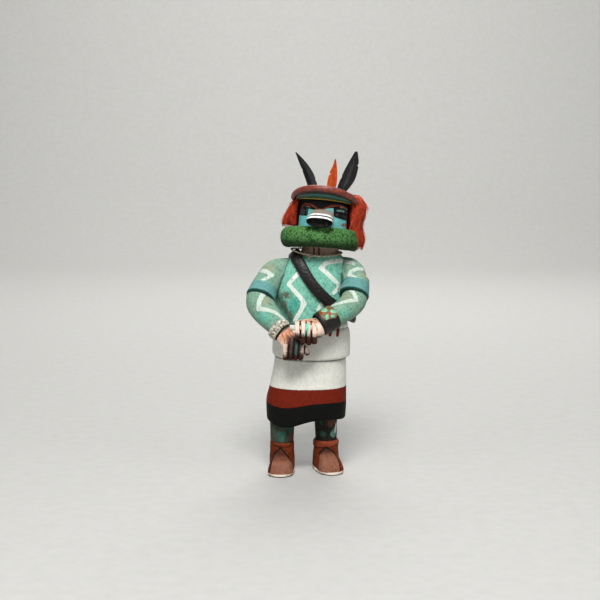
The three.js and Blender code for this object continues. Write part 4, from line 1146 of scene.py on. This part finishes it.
def hair_at(bearing, share, out=0.0):
    """Points on the outside of the hair, stood off by out millimetres."""
    bearing, share, out = np.broadcast_arrays(np.asarray(bearing, float), share, out)
    i = np.clip((bearing - hair_bearings[0]) / (hair_bearings[1] - hair_bearings[0]), 0, HAIR_COLUMNS - 1.001)
    j = np.clip((share - hair_levels[0]) / (hair_levels[1] - hair_levels[0]), 0, HAIR_LEVELS - 1.001)
    column = i.astype(int)
    row = j.astype(int)
    u = (i - column)[..., None]
    v = (j - row)[..., None]
    low = hair_sheet[column, row] * (1 - u) + hair_sheet[column + 1, row] * u
    high = hair_sheet[column, row + 1] * (1 - u) + hair_sheet[column + 1, row + 1] * u
    height, reach = np.moveaxis(low * (1 - v) + high * v, -1, 0)
    reach = np.maximum(reach, HEAD_RADIUS + 1.4) + out
    flat = np.multiply.outer(
        reach * np.sin(bearing), head_across) + np.multiply.outer(reach * np.cos(bearing), head_ahead)
    return HEAD_BASE + flat + np.multiply.outer(height, head_up)


slices = []
for i in range(HAIR_SLICES + 1):
    bearing = HAIR_START + HAIR_SPAN * i / HAIR_SLICES
    level = np.linspace(0.02, 0.97, 40)
    lumps = 0.7 * math.sin(31 * bearing) + 0.5 * math.sin(57 * bearing + 1) + 0.4 * math.sin(97 * bearing + 2)
    outer = hair_at(np.full(40, bearing), level, -1.3 + lumps * (1.1 - level) * 0.8)
    inner = []
    for p in outer[::-1]:
        height = (p - HEAD_BASE) @ head_up
        within = HEAD_RADIUS + 0.9 - max(0, height - 34) * 0.35
        reach = np.hypot((p - HEAD_BASE) @ head_across, (p - HEAD_BASE) @ head_ahead)
        within = within if height > 12 else reach - 2.0
        inner.append(on_head(within * math.sin(bearing), within * math.cos(bearing), height))
    slices.append(list(outer) + inner)
hair_forms = [skin(slices)]
# Painted shade: the matted layer underneath gets the darkest value.
hair_shades = [np.full(len(hair_forms[0][0]), 0.15)]
chance = np.random.default_rng(11)
for n in range(LONG_STRANDS + LOOSE_STRANDS):
    loose = n >= LONG_STRANDS
    bearing = chance.uniform(HAIR_START - 0.03, 2 * math.pi - HAIR_START + 0.03)
    top = chance.uniform(0.4, 1.0) if loose else chance.uniform(0.3, 1.0)
    low = top - (chance.uniform(0.15, 0.45) if loose else chance.uniform(0.35, 0.85))
    low = max(low, chance.uniform(-0.06, 0.12))
    drift = chance.normal(0, 0.16 if loose else 0.05)
    lift = chance.uniform(0.6, 3.4) if loose else chance.uniform(-0.9, 0.7)
    wave = chance.uniform(0, 2 * math.pi)
    t = np.linspace(0, 1, STRAND_POINTS)
    share = top + (low - top) * t
    b = bearing + drift * t + (0.05 if loose else 0.02) * np.sin(wave + 6 * t)
    out = lift * (t if loose else np.sin(np.minimum(1, 2.2 * t) * math.pi / 2)) + 0.5 * np.sin(wave + 4 * t)
    centres = hair_at(b, share, out)
    radial = centres - HEAD_BASE
    radial = radial - np.outer(radial @ head_up, head_up)
    radial /= np.linalg.norm(radial, axis=1)[:, None]
    sideways = np.cross(radial, head_up)
    thick = (0.2 if loose else 0.3) * (1 - 0.75 * t)
    turns = np.arange(STRAND_SIDES) * 2 * math.pi / STRAND_SIDES
    spread = np.cos(turns)[None, :, None] * sideways[:, None] * 1.5 + np.sin(turns)[None, :, None] * radial[:, None]
    hair_forms.append(skin(centres[:, None] + spread * thick[:, None, None]))
    # Each strand a random red; loose strands are painted lighter as painted light at the outline, and strands on the
    # doll's right darker as painted shade.
    shade = chance.uniform(0.2, 0.75) + (0.25 if loose else 0)
    shade -= 0.16 if bearing > math.pi else 0
    hair_shades.append(np.full(STRAND_POINTS * STRAND_SIDES, shade))
hair_points, hair_faces = gathered(hair_forms)

# Dyed fibre: scarlet with each strand a different red, painted darkest deep in the mass as painted shade, and
# a soft shine along the length.
dyed_hair, shader, place = new_finish("red-dyed horsehair")
length = node(dyed_hair, "Mapping", {"Vector": place, "Scale": (1, 1, 0.08)}).outputs[0]
fibres = node(dyed_hair, "TexNoise", {"Vector": length, "Scale": 1500, "Detail": 2}).outputs["Fac"]
locks = node(dyed_hair, "TexNoise", {"Vector": length, "Scale": 220, "Detail": 2}).outputs["Fac"]
shade = node(dyed_hair, "Attribute", attribute_name="shade").outputs["Fac"]
shade = node(dyed_hair, "Math", {0: fibres, 1: 0.6, 2: shade}, operation="MULTIPLY_ADD").outputs[0]
shade = node(dyed_hair, "Math", {0: locks, 1: 0.9, 2: shade}, operation="MULTIPLY_ADD").outputs[0]
shade = node(dyed_hair, "Math", {0: shade, 1: 0.42}, operation="SUBTRACT").outputs[0]
REDS = [(0.1, "#3A0705"), (0.5, "#8A1B0F"), (0.95, "#D24E28")]
reds = node(dyed_hair, "ValToRGB", {"Fac": shade}, REDS)
bump = node(dyed_hair, "Bump", {"Height": fibres, "Strength": 0.6, "Distance": 0.0004})
connected(shader, {
    "Base Color": reds.outputs[0], "Roughness": 0.55, "Specular IOR Level": 0.25, "Normal": bump.outputs[0],
})
as_piece("red_hair", hair_points, hair_faces, dyed_hair, "dyed_hair", "hair", shade=np.concatenate(hair_shades))

# Three feathers, each carved as a thin leaf of wood cupped along its spine and pegged into the crown.
FEATHER_STATIONS = {
    "right_black_feather": [
        (7, -2, 238, 1.3), (6.2, -2, 243, 3.9), (4.4, -3, 250, 4.6), (1.2, -4, 258, 4.3), (-3.2, -5, 266, 2.8),
        (-7.8, -6, 273.2, 0.5),
    ],
    "left_black_feather": [
        (28.6, -2, 236, 1.3), (31.8, -2, 242.4, 4.8), (35.8, -3, 250, 6.2), (39, -4, 258.4, 5.6),
        (41.4, -5, 266, 3.9), (43.2, -6, 273.8, 1.1),
    ],
    "orange_feather": [
        (21, 3, 238, 1.2), (21.8, 3, 243, 3.6), (22.8, 2.6, 250, 3.9), (23.8, 2.2, 257, 3.1), (24.8, 2, 262, 1.7),
        (25.4, 2, 267.6, 0.5),
    ],
}
FEATHER_SET = {"right_black_feather": (0.35, 0.22), "left_black_feather": (-0.15, 0.15), "orange_feather": (0, 0.15)}
FRONT = np.linspace(-1, 1, 41)
BACK = np.linspace(0.95, -0.95, 23)
FEATHER_ROWS = 110
NICK_LENGTH = 0.035


def feather(stations, facing, cup, nicks):
    """A leaf with a raised quill; nicks are places on its edge, by length and side, where the barbs part."""
    wide = np.array([math.cos(facing), math.sin(facing), 0])
    face = np.array([math.sin(facing), -math.cos(facing), 0])
    rings = []
    across = []
    rows = smooth_through(stations, np.linspace(0, len(stations) - 1, FEATHER_ROWS))
    for k, (x, forward, z, width) in enumerate(rows):
        left = right = max(width, 0.5)
        for share, side, deep in nicks:
            bite = deep * max(0, 1 - abs(k / (FEATHER_ROWS - 1) - share) / NICK_LENGTH)
            if side < 0:
                left -= bite
            else:
                right -= bite
        edge = []
        for a in FRONT:
            front = 0.35 + 0.55 * (1 - a * a) + 0.3 * math.exp(-((a / 0.1) ** 2))
            half = left if a < 0 else right
            edge.append(spot(x, forward, z) + wide * a * half + face * (front + cup * a * a * half))
        for a in BACK:
            half = left if a < 0 else right
            edge.append(
                spot(x, forward, z) + wide * a * half + face * (-0.7 + 0.6 * abs(a) ** 3 + cup * a * a * half))
        rings.append(edge)
        across += list(FRONT) + list(BACK)
    points, faces = skin(rings)
    return points, faces, across


def barbed(name, dark, light, gloss):
    """Thin paint on a carved leaf: scored barbs slant from the quill, and the scored lines stay darker."""
    paint, shader, place = new_finish(name)
    mottle = node(paint, "TexNoise", {"Vector": place, "Scale": 300, "Detail": 3}).outputs["Fac"]
    side = node(paint, "Attribute", attribute_name="across").outputs["Fac"]
    width = node(paint, "Math", {0: side}, operation="ABSOLUTE").outputs[0]
    height = node(paint, "SeparateXYZ", {"Vector": place}).outputs["Z"]
    slant = node(paint, "Math", {0: width, 1: -0.006, 2: height}, operation="MULTIPLY_ADD").outputs[0]
    slant = node(paint, "Math", {0: mottle, 1: 0.0008, 2: slant}, operation="MULTIPLY_ADD").outputs[0]
    barbs = node(paint, "Math", {0: slant, 1: 2 * math.pi / 0.0011}, operation="MULTIPLY").outputs[0]
    barbs = node(paint, "Math", {0: barbs}, operation="SINE").outputs[0]
    tone = node(paint, "Math", {0: barbs, 1: 0.14, 2: mottle}, operation="MULTIPLY_ADD").outputs[0]
    tone = node(paint, "MapRange", {"Value": tone, "From Min": 0.3, "From Max": 0.75}).outputs[0]
    colour = node(paint, "Mix", {0: tone, 6: dark, 7: light}, data_type="RGBA").outputs[2]
    bump = node(paint, "Bump", {"Height": barbs, "Strength": 0.35, "Distance": 0.00025})
    sheen = node(paint, "MapRange", {"Value": mottle, "To Min": gloss - 0.1, "To Max": gloss + 0.1}).outputs[0]
    connected(shader, {
        "Base Color": colour, "Roughness": sheen, "Specular IOR Level": 0.2, "Normal": bump.outputs[0],
    })
    return paint


black_feather_paint = barbed("satin black paint on a carved leaf", "#070706", "#131211", 0.45)
orange_feather_paint = barbed("orange paint on a carved leaf", "#983006", "#C24E0A", 0.6)
FEATHER_NICKS = {
    "right_black_feather": [(0.62, -1, 0.7), (0.4, 1, 0.5)],
    "left_black_feather": [(0.7, 1, 1.0), (0.45, -1, 0.6)],
    "orange_feather": [(0.55, -1, 1.1)],
}
for name, stations in FEATHER_STATIONS.items():
    points, faces, across = feather(stations, *FEATHER_SET[name], FEATHER_NICKS[name])
    if name == "orange_feather":
        as_piece(name + "_slat", points, faces, orange_feather_paint, "orange_feather_paint", name, across=across)
    else:
        as_piece(name + "_slat", points, faces, black_feather_paint, "black_feather_paint", name, across=across)

# The bandolier is a thick strap of dark leather, folded round and sewn underneath, worn over the right
# shoulder and under the left arm.
BANDOLIER = [
    (-90, 187.6, 0.3), (-66, 185.6, 0.2), (-40, 180, 0.1), (-19, 172.4, 0), (1, 165, 0), (24, 156.4, 0),
    (48, 146.6, 0), (70, 138.4, 1.4),
    (90, 133.6, 4.6), (114, 136, 2.2), (138, 143.6, 0), (160, 154, 0), (184, 165, 0), (208, 174.6, 0),
    (238, 182.6, 0.1),
]
STRAP_WIDTH = 9.4
STRAP_THICKNESS = 3.4
STRAP_STANDOFF = 0.6
STRAP_STEPS = 620
STRAP_STATIONS = 150


def trunk_surface(bearing, z):
    _, x, half, deep, forward = at_height(TORSO, z)[0]
    c = math.cos(bearing)
    s = math.sin(bearing)
    reach = (abs(s / half) ** TRUNK_POWER + abs(c / deep) ** TRUNK_POWER) ** (-1 / TRUNK_POWER)
    return spot(x + s * reach, forward + c * reach, z)


def trunk_normal(bearing, z):
    across = trunk_surface(bearing + 0.02, z) - trunk_surface(bearing - 0.02, z)
    return unit(np.cross(across, trunk_surface(bearing, z + 0.5) - trunk_surface(bearing, z - 0.5)))


def off_trunk(p, out):
    _, x, _, _, forward = at_height(TORSO, p[2])[0]
    bearing = math.atan2(p[0] - x, -p[1] - forward)
    return trunk_surface(bearing, p[2]) + trunk_normal(bearing, p[2]) * out


strap_rows = np.array([(d + turn * 360, z, out) for turn in (-1, 0, 1) for d, z, out in BANDOLIER], float)
count = len(BANDOLIER)


def strap_line(t):
    degrees, z, out = smooth_through(strap_rows, t + count)[0]
    bearing = math.radians(degrees)
    return trunk_surface(bearing, z), trunk_normal(bearing, z), out


profile = [(-0.5, 0), (-0.25, 0), (0, 0), (0.25, 0), (0.5, 0), (0.5, 0.3), (0.495, 0.42)]
profile += [
    (0.49 * math.cos(a), 0.46 + 0.5 * math.sin(a))
    for a in np.linspace(0.2, math.pi - 0.2, 27)
] + [(-0.495, 0.42), (-0.5, 0.3)]
coarse = []
for i in range(STRAP_STATIONS):
    t = count * i / STRAP_STATIONS
    p, normal, out = strap_line(t)
    along = unit(strap_line(t + 0.1)[0] - strap_line(t - 0.1)[0])
    wide = unit(np.cross(along, normal))
    coarse.append(
        [
            off_trunk(p + wide * across * STRAP_WIDTH, STRAP_STANDOFF + out + thick * STRAP_THICKNESS)
            for across, thick in profile
        ])
coarse = np.array(coarse)
at = np.arange(STRAP_STEPS) * STRAP_STATIONS / STRAP_STEPS
whole = at.astype(int)
part = (at - whole)[:, None, None]
rings = coarse[whole] * (1 - part) + coarse[(whole + 1) % STRAP_STATIONS] * part
inside = rings[:, :5].mean(1)[:, None]
raised = np.clip(np.array([thick for _, thick in profile]) * 2, 0, 1)
outward = rings - inside
outward /= np.maximum(np.linalg.norm(outward, axis=2)[:, :, None], 1e-6)
creases = rough_noise(rings.reshape(-1, 3) * np.array([1, 1, 2.2]), 3.2, 4.0).reshape(rings.shape[:2])
swell = rough_noise(rings.reshape(-1, 3), 9.0, 9.0).reshape(rings.shape[:2])
rings = rings + outward * ((-np.abs(creases) * 0.45 + swell * 0.3) * raised)[:, :, None]
strap_points, strap_faces = skin(rings, looped=True)
strap_worn = np.tile([abs(across) * 2 if thick > 0.2 else 0 for across, thick in profile], STRAP_STEPS)

# Vegetable-tanned leather blackened with use: brown-black, creased across, with a dull polish and browner,
# drier edges. Its pores are drawn coarser than the real tenth of a millimetre, to show.
dark_leather, shader, place = new_finish("blackened leather")
mottle = node(dark_leather, "TexNoise", {"Vector": place, "Scale": 240, "Detail": 4, "Roughness": 0.6}).outputs["Fac"]
pores = node(dark_leather, "TexVoronoi", {"Vector": place, "Scale": 1400}).outputs["Distance"]
worn = node(dark_leather, "Attribute", attribute_name="worn").outputs["Fac"]
worn = node(dark_leather, "Math", {0: mottle, 1: 0.9, 2: worn}, operation="MULTIPLY_ADD").outputs[0]
worn = node(dark_leather, "MapRange", {"Value": worn, "From Min": 1.25, "From Max": 1.6, "To Max": 0.8}).outputs[0]
tone = node(dark_leather, "MapRange", {"Value": mottle, "From Min": 0.3, "From Max": 0.7}).outputs[0]
colour = node(dark_leather, "Mix", {0: tone, 6: "#0A0807", 7: "#181211"}, data_type="RGBA").outputs[2]
colour = node(dark_leather, "Mix", {0: worn, 6: colour, 7: "#2D1D17"}, data_type="RGBA").outputs[2]
relief = node(dark_leather, "Math", {0: pores, 1: 0.5, 2: mottle}, operation="MULTIPLY_ADD").outputs[0]
bump = node(dark_leather, "Bump", {"Height": relief, "Strength": 0.5, "Distance": 0.0004})
sheen = node(
    dark_leather, "MapRange",
    {"Value": mottle, "From Min": 0.3, "From Max": 0.7, "To Min": 0.34, "To Max": 0.55}).outputs[0]
connected(shader, {"Base Color": colour, "Roughness": sheen, "Specular IOR Level": 0.35, "Normal": bump.outputs[0]})
as_piece("shoulder_strap", strap_points, strap_faces, dark_leather, "dark_leather", "bandolier", worn=strap_worn)

# The neck cord is two-ply twisted cotton, 1.6 mm thick, tied once round the base of the neck. One frayed end
# hangs under the throat.
CORD_RADIUS = 0.8
CORD_TWISTS = 30
CORD_STEPS = 620
PLY_RADIUS = CORD_RADIUS * 0.54
PLY_OFFSET = CORD_RADIUS * 0.46
PLY_SIDES = 10


def cord_middle(bearing):
    z = 190.4 - 1.6 * math.sin(bearing) - 2.6 * max(0, math.cos(bearing)) ** 2
    return spot(9.6 + 21.4 * math.sin(bearing), 0.5 + 17.4 * math.cos(bearing), z)


cord_forms = []
cord_shade = []
for ply in range(2):
    rings = []
    for i in range(CORD_STEPS):
        bearing = 2 * math.pi * i / CORD_STEPS
        out = np.array([math.sin(bearing), -math.cos(bearing), 0])
        twist = ply * math.pi + CORD_TWISTS * bearing
        centre = cord_middle(bearing) + (out * math.cos(twist) + UP * math.sin(twist)) * PLY_OFFSET
        rings.append(ring(centre, out, UP, PLY_RADIUS, PLY_RADIUS, PLY_SIDES))
        cord_shade += [0.45 + 0.3 * (ply - 0.5)] * PLY_SIDES
    cord_forms.append(skin(rings, looped=True))
for spread in (-0.5, 0, 0.5):
    knot = cord_middle(-0.11)
    hang = spot(2.6 + spread, 19.3, 186.0 - 0.7 * spread) - knot
    across = unit(np.cross(hang, UP))
    frayed = skin(
        [
            ring(knot + hang * t + UP * 0.8 * math.sin(math.pi * t), across, UP, 0.42 - 0.2 * t, 0.42 - 0.2 * t, 8)
            for t in np.linspace(0, 1, 12)
        ])
    cord_shade += [0.3] * len(frayed[0])
    cord_forms.append(frayed)
cord_points, cord_faces = gathered(cord_forms)

# Undyed cotton, yellowed: tan, one ply a little darker than the other, and no shine.
tan_cord, shader, place = new_finish("yellowed cotton cord")
fibres = node(tan_cord, "TexNoise", {"Vector": place, "Scale": 1800, "Detail": 3}).outputs["Fac"]
shade = node(tan_cord, "Attribute", attribute_name="shade").outputs["Fac"]
shade = node(tan_cord, "Math", {0: fibres, 1: 0.9, 2: shade}, operation="MULTIPLY_ADD").outputs[0]
shade = node(tan_cord, "MapRange", {"Value": shade, "From Min": 0.6, "From Max": 1.2}).outputs[0]
colour = node(tan_cord, "Mix", {0: shade, 6: "#8F8264", 7: "#DDD3B8"}, data_type="RGBA").outputs[2]
bump = node(tan_cord, "Bump", {"Height": fibres, "Strength": 0.6, "Distance": 0.0002})
connected(shader, {"Base Color": colour, "Roughness": 0.9, "Sheen Weight": 0.2, "Normal": bump.outputs[0]})
as_piece("twisted_neck_cord", cord_points, cord_faces, tan_cord, "tan_cord", "neck_cord", shade=cord_shade)


def cuff(start, end, rows, sides):
    """A cuff round the wrist line: rows give how far along and how big."""
    start = spot(*start)
    end = spot(*end)
    along = unit(end - start)
    side = unit(UP - along * (UP @ along))
    other = np.cross(along, side)
    return [ring(start + (end - start) * t, side, other, radius, radius, sides) for t, radius in rows]


# The bow guard is a stiff cuff of dark leather laced on the left wrist, with turned edges and a brown panel
# in front that has four turquoise spots round a red one.
GUARD_SIDES = 260
GUARD_ROWS = 80
outer = [
    (0, 9.9), (0.02, 10.15), (0.06, 10.35), (0.1, 10.5), (0.5, 10.3), (0.9, 10.0), (0.95, 9.95), (0.98, 9.75),
    (1, 9.5),
]
inner = [(1, 8.9), (0.9, 8.8), (0.5, 9.1), (0.1, 9.5), (0, 9.3)]
rows = [tuple(r) for r in smooth_through(outer, np.linspace(0, 8, GUARD_ROWS))] + inner
guard_points, guard_faces = skin(cuff(*GUARD_ENDS, rows, GUARD_SIDES), looped=True)
guard_axis = unit(spot(*GUARD_ENDS[1]) - spot(*GUARD_ENDS[0]))
guard_share = np.repeat([t for t, _ in rows], GUARD_SIDES)
EYE_LINE = unit(EYE - spot(17, 40, 142))
view_across = unit(np.cross(UP, EYE_LINE))
view_up = np.cross(EYE_LINE, view_across)


def as_seen(points):
    """Places of points as the eye in front sees them, level and upright, in millimetres."""
    return points @ view_across, points @ view_up


def seen_place(x, forward, z):
    return [spot(x, forward, z) @ view_across, spot(x, forward, z) @ view_up]


seen_x, seen_z = as_seen(guard_points)
towards = np.einsum(
    "ij,j->i",
    guard_points - spot(*GUARD_ENDS[0]) - np.outer((guard_points - spot(*GUARD_ENDS[0])) @ guard_axis, guard_axis),
    EYE_LINE)
in_front = np.where(np.repeat(np.arange(len(rows)) < GUARD_ROWS, GUARD_SIDES), towards, -9)


def guard_outline(places, forward):
    depth = inside_outline(seen_x, seen_z, [seen_place(x, forward, z) for x, z in places])
    return np.minimum(depth, in_front)


def guard_spot(x, forward, z, wide, high, tilt):
    dx = seen_x - seen_place(x, forward, z)[0]
    dz = seen_z - seen_place(x, forward, z)[1]
    c = math.cos(math.radians(tilt))
    s = math.sin(math.radians(tilt))
    depth = (1 - np.hypot((dx * c + dz * s) / wide * 2, (dz * c - dx * s) / high * 2)) * min(wide, high) / 2
    return np.minimum(depth, in_front)


panel = guard_outline([(11.3, 148.2), (21.1, 149.9), (26.9, 144.9), (25.2, 139.1), (16.2, 137.5), (11.3, 142.4)], 41)
stones = np.maximum.reduce([
    guard_spot(15.8, 41, 145.6, 5.2, 2.9, 8), guard_spot(23.2, 40, 144.4, 5.2, 3.0, -15),
    guard_spot(17.8, 43, 140.3, 2.9, 4.9, 0), guard_spot(22.6, 41, 140.6, 3.0, 2.6, 0),
])
red_spots = np.maximum(guard_spot(20.3, 41, 142.6, 3.0, 3.4, 0), guard_spot(12.9, 41, 143.2, 3.0, 2.4, 0))
radial = guard_points - spot(*GUARD_ENDS[0])
radial = radial - np.outer(radial @ guard_axis, guard_axis)
radial /= np.linalg.norm(radial, axis=1)[:, None]
guard_points = guard_points + radial * (
    0.28 * np.clip(stones / 0.6, 0, 1) + 0.1 * rough_noise(guard_points, 2.4, 3.0))[:, None]

# Leather again, with thick paint for the spots; the turned edges are rubbed to orange-brown.
guard_leather, shader, place = new_finish("painted cuff leather")
mottle = node(
    guard_leather, "TexNoise", {"Vector": place, "Scale": 380, "Detail": 4, "Roughness": 0.6}).outputs["Fac"]
wobble = node(guard_leather, "Math", {0: mottle, 1: 0.5}, operation="SUBTRACT").outputs[0]
tone = node(guard_leather, "MapRange", {"Value": mottle, "From Min": 0.35, "From Max": 0.65}).outputs[0]
colour = node(guard_leather, "Mix", {0: tone, 6: "#0D0B0A", 7: "#211B18"}, data_type="RGBA").outputs[2]
GUARD_MARKS = [
    ("panel", "#54462A", "#857046"), ("edge_rub", "#54290F", "#8A4C28"), ("red_spots", "#702411", "#A0441F"),
    ("stones", "#5AA07E", "#88C09C"),
]
for mark, dark, light in GUARD_MARKS:
    depth = node(guard_leather, "Attribute", attribute_name=mark).outputs["Fac"]
    depth = node(guard_leather, "Math", {0: wobble, 1: 0.8, 2: depth}, operation="MULTIPLY_ADD").outputs[0]
    cover = node(
        guard_leather, "MapRange", {"Value": depth, "From Min": -0.25, "From Max": 0.25},
        interpolation_type="SMOOTHSTEP").outputs[0]
    paint = node(guard_leather, "Mix", {0: tone, 6: dark, 7: light}, data_type="RGBA").outputs[2]
    colour = node(guard_leather, "Mix", {0: cover, 6: colour, 7: paint}, data_type="RGBA").outputs[2]
bump = node(guard_leather, "Bump", {"Height": mottle, "Strength": 0.5, "Distance": 0.0004})
sheen = node(guard_leather, "MapRange", {"Value": mottle, "To Min": 0.35, "To Max": 0.6}).outputs[0]
connected(shader, {"Base Color": colour, "Roughness": sheen, "Specular IOR Level": 0.3, "Normal": bump.outputs[0]})
edge_rub = np.where((guard_share < 0.05) & (guard_points[:, 2] > 141), 0.2, -1.0)
as_piece(
    "leather_bow_guard", guard_points, guard_faces, guard_leather, "guard_leather", "bow_guard",
    panel=panel, stones=stones, red_spots=red_spots, edge_rub=edge_rub)

# The wrist band is a narrow ring of wood on the right wrist, painted grey-white with short dark strokes, with
# a groove between its two rows.
BAND_SIDES = 260
BAND_ROWS = 60
STROKES_ROUND = 21
outer = [
    (0, 8.9), (0.03, 9.25), (0.1, 9.6), (0.25, 9.95), (0.5, 10.05), (0.75, 9.8), (0.9, 9.4), (0.97, 9.1), (1, 8.8),
]
inner = [(1, 8.2), (0.75, 8.4), (0.5, 8.6), (0.25, 8.9), (0, 8.7)]
rows = [tuple(r) for r in smooth_through(outer, np.linspace(0, 8, BAND_ROWS))] + inner
band_points, band_faces = skin(cuff(*BAND_ENDS, rows, BAND_SIDES), looped=True)
share = np.repeat([t for t, _ in rows], BAND_SIDES)
turn = np.tile(np.arange(BAND_SIDES) / BAND_SIDES * STROKES_ROUND, len(rows))
row_shift = np.where(share > 0.5, 0.5, 0.0)
from_stroke = np.abs((turn + row_shift) % 1 - 0.5) * 2 * math.pi * 9.8 / STROKES_ROUND / 2
gaps = np.minimum(from_stroke, np.abs(share - 0.5) * 7)
centre_line = spot(*BAND_ENDS[0]) + np.outer(share, spot(*BAND_ENDS[1]) - spot(*BAND_ENDS[0]))
radial = band_points - centre_line
radial /= np.linalg.norm(radial, axis=1)[:, None]
on_outside = np.repeat(np.arange(len(rows)) < BAND_ROWS, BAND_SIDES)
gaps = gaps + 0.5 * rough_noise(band_points, 1.8, 5.0) + 0.15
band_points = band_points - radial * (0.35 * np.exp(-((np.maximum(gaps, 0) / 0.4) ** 2)) * on_outside)[:, None]

# Grey-white paint over brown, rubbed through in spots, dark in the cuts.
wrist_band_paint, shader, place = new_finish("rubbed grey-white paint")
mottle = node(
    wrist_band_paint, "TexNoise", {"Vector": place, "Scale": 450, "Detail": 4, "Roughness": 0.65}).outputs["Fac"]
tone = node(wrist_band_paint, "MapRange", {"Value": mottle, "From Min": 0.38, "From Max": 0.62}).outputs[0]
colour = node(wrist_band_paint, "Mix", {0: tone, 6: "#857D6C", 7: "#D2CCBC"}, data_type="RGBA").outputs[2]
cuts = node(wrist_band_paint, "Attribute", attribute_name="gaps").outputs["Fac"]
cuts = node(wrist_band_paint, "Math", {0: mottle, 1: 1.6, 2: cuts}, operation="MULTIPLY_ADD").outputs[0]
cuts = node(
    wrist_band_paint, "MapRange", {"Value": cuts, "From Min": 1.2, "From Max": 0.8, "To Max": 0.85}).outputs[0]
colour = node(wrist_band_paint, "Mix", {0: cuts, 6: colour, 7: "#2E261C"}, data_type="RGBA").outputs[2]
bump = node(wrist_band_paint, "Bump", {"Height": mottle, "Strength": 0.5, "Distance": 0.0004})
connected(shader, {"Base Color": colour, "Roughness": 0.7, "Normal": bump.outputs[0]})
as_piece("painted_wrist_band", band_points, band_faces, wrist_band_paint, "wrist_band_paint", "wrist_band", gaps=gaps)

# The room: a pale floor that curves up behind, soft light from above and both sides, and a camera as far
# off and as high as the photographer's, looking 8 degrees down.
SWEEP = [(-5.0, 0.0), (1.5, 0.0)]
SWEEP += [(1.5 + 0.9 * math.sin(a), 0.9 - 0.9 * math.cos(a)) for a in np.linspace(0.06, math.pi / 2, 24)]
SWEEP += [(2.4, 3.5)]
floor_mesh = bpy.data.meshes.new("floor")
sweep_points = [(x, y, z) for y, z in SWEEP for x in (-5.0, 5.0)]
floor_mesh.from_pydata(sweep_points, [], [(2 * i, 2 * i + 1, 2 * i + 3, 2 * i + 2) for i in range(len(SWEEP) - 1)])
floor_mesh.shade_smooth()
floor = bpy.data.objects.new("floor", floor_mesh)
bpy.context.scene.collection.objects.link(floor)

# Matt pale grey paper, very slightly mottled.
floor_paper, shader, place = new_finish("matt pale grey paper")
mottle = node(floor_paper, "TexNoise", {"Vector": place, "Scale": 90, "Detail": 3}).outputs["Fac"]
colour = node(floor_paper, "Mix", {0: mottle, 6: "#AEADA9", 7: "#BAB9B5"}, data_type="RGBA").outputs[2]
connected(shader, {"Base Color": colour, "Roughness": 0.9})
floor_mesh.materials.append(floor_paper)

world = bpy.data.worlds.new("studio")
world.use_nodes = True
world.node_tree.nodes["Background"].inputs["Color"].default_value = linear("#D6DAE0")
world.node_tree.nodes["Background"].inputs["Strength"].default_value = 0.26
bpy.context.scene.world = world

CAMERA_DISTANCE = 1.085
CAMERA_RISE = math.radians(8)
CAMERA_TARGET = Vector((-0.006757, 0.006305, 0.14827))


def soft_light(name, place, size, power, aim=CAMERA_TARGET):
    lamp = bpy.data.lights.new(name, "AREA")
    lamp.shape = "DISK"
    lamp.size = size
    lamp.energy = power
    made = bpy.data.objects.new(name, lamp)
    made.location = place
    made.rotation_euler = (Vector(aim) - Vector(place)).to_track_quat("-Z", "Y").to_euler()
    bpy.context.scene.collection.objects.link(made)


soft_light("key_above_front", (-0.03, -0.76, 1.11), 0.5, 18.5)
soft_light("left_fill", (-1.1, -0.8, 1.0), 0.9, 3.2)
soft_light("right_fill", (1.1, -0.7, 1.0), 0.9, 3.0)
soft_light("back_light", (0.2, 1.0, 1.1), 0.9, 6)
soft_light("backdrop_light", (0.0, 1.0, 1.9), 1.2, 40, (0.0, 2.4, 0.7))

bpy.context.scene.view_settings.view_transform = "Standard"
lens = bpy.data.cameras.new("camera")
lens.sensor_width = 36
lens.lens = 18 / math.tan(math.radians(26.5 / 2))
camera = bpy.data.objects.new("camera", lens)
camera.location = CAMERA_TARGET + CAMERA_DISTANCE * Vector((0, -math.cos(CAMERA_RISE), math.sin(CAMERA_RISE)))
camera.rotation_euler = (CAMERA_TARGET - camera.location).to_track_quat("-Z", "Y").to_euler()
bpy.context.scene.collection.objects.link(camera)
bpy.context.scene.camera = camera
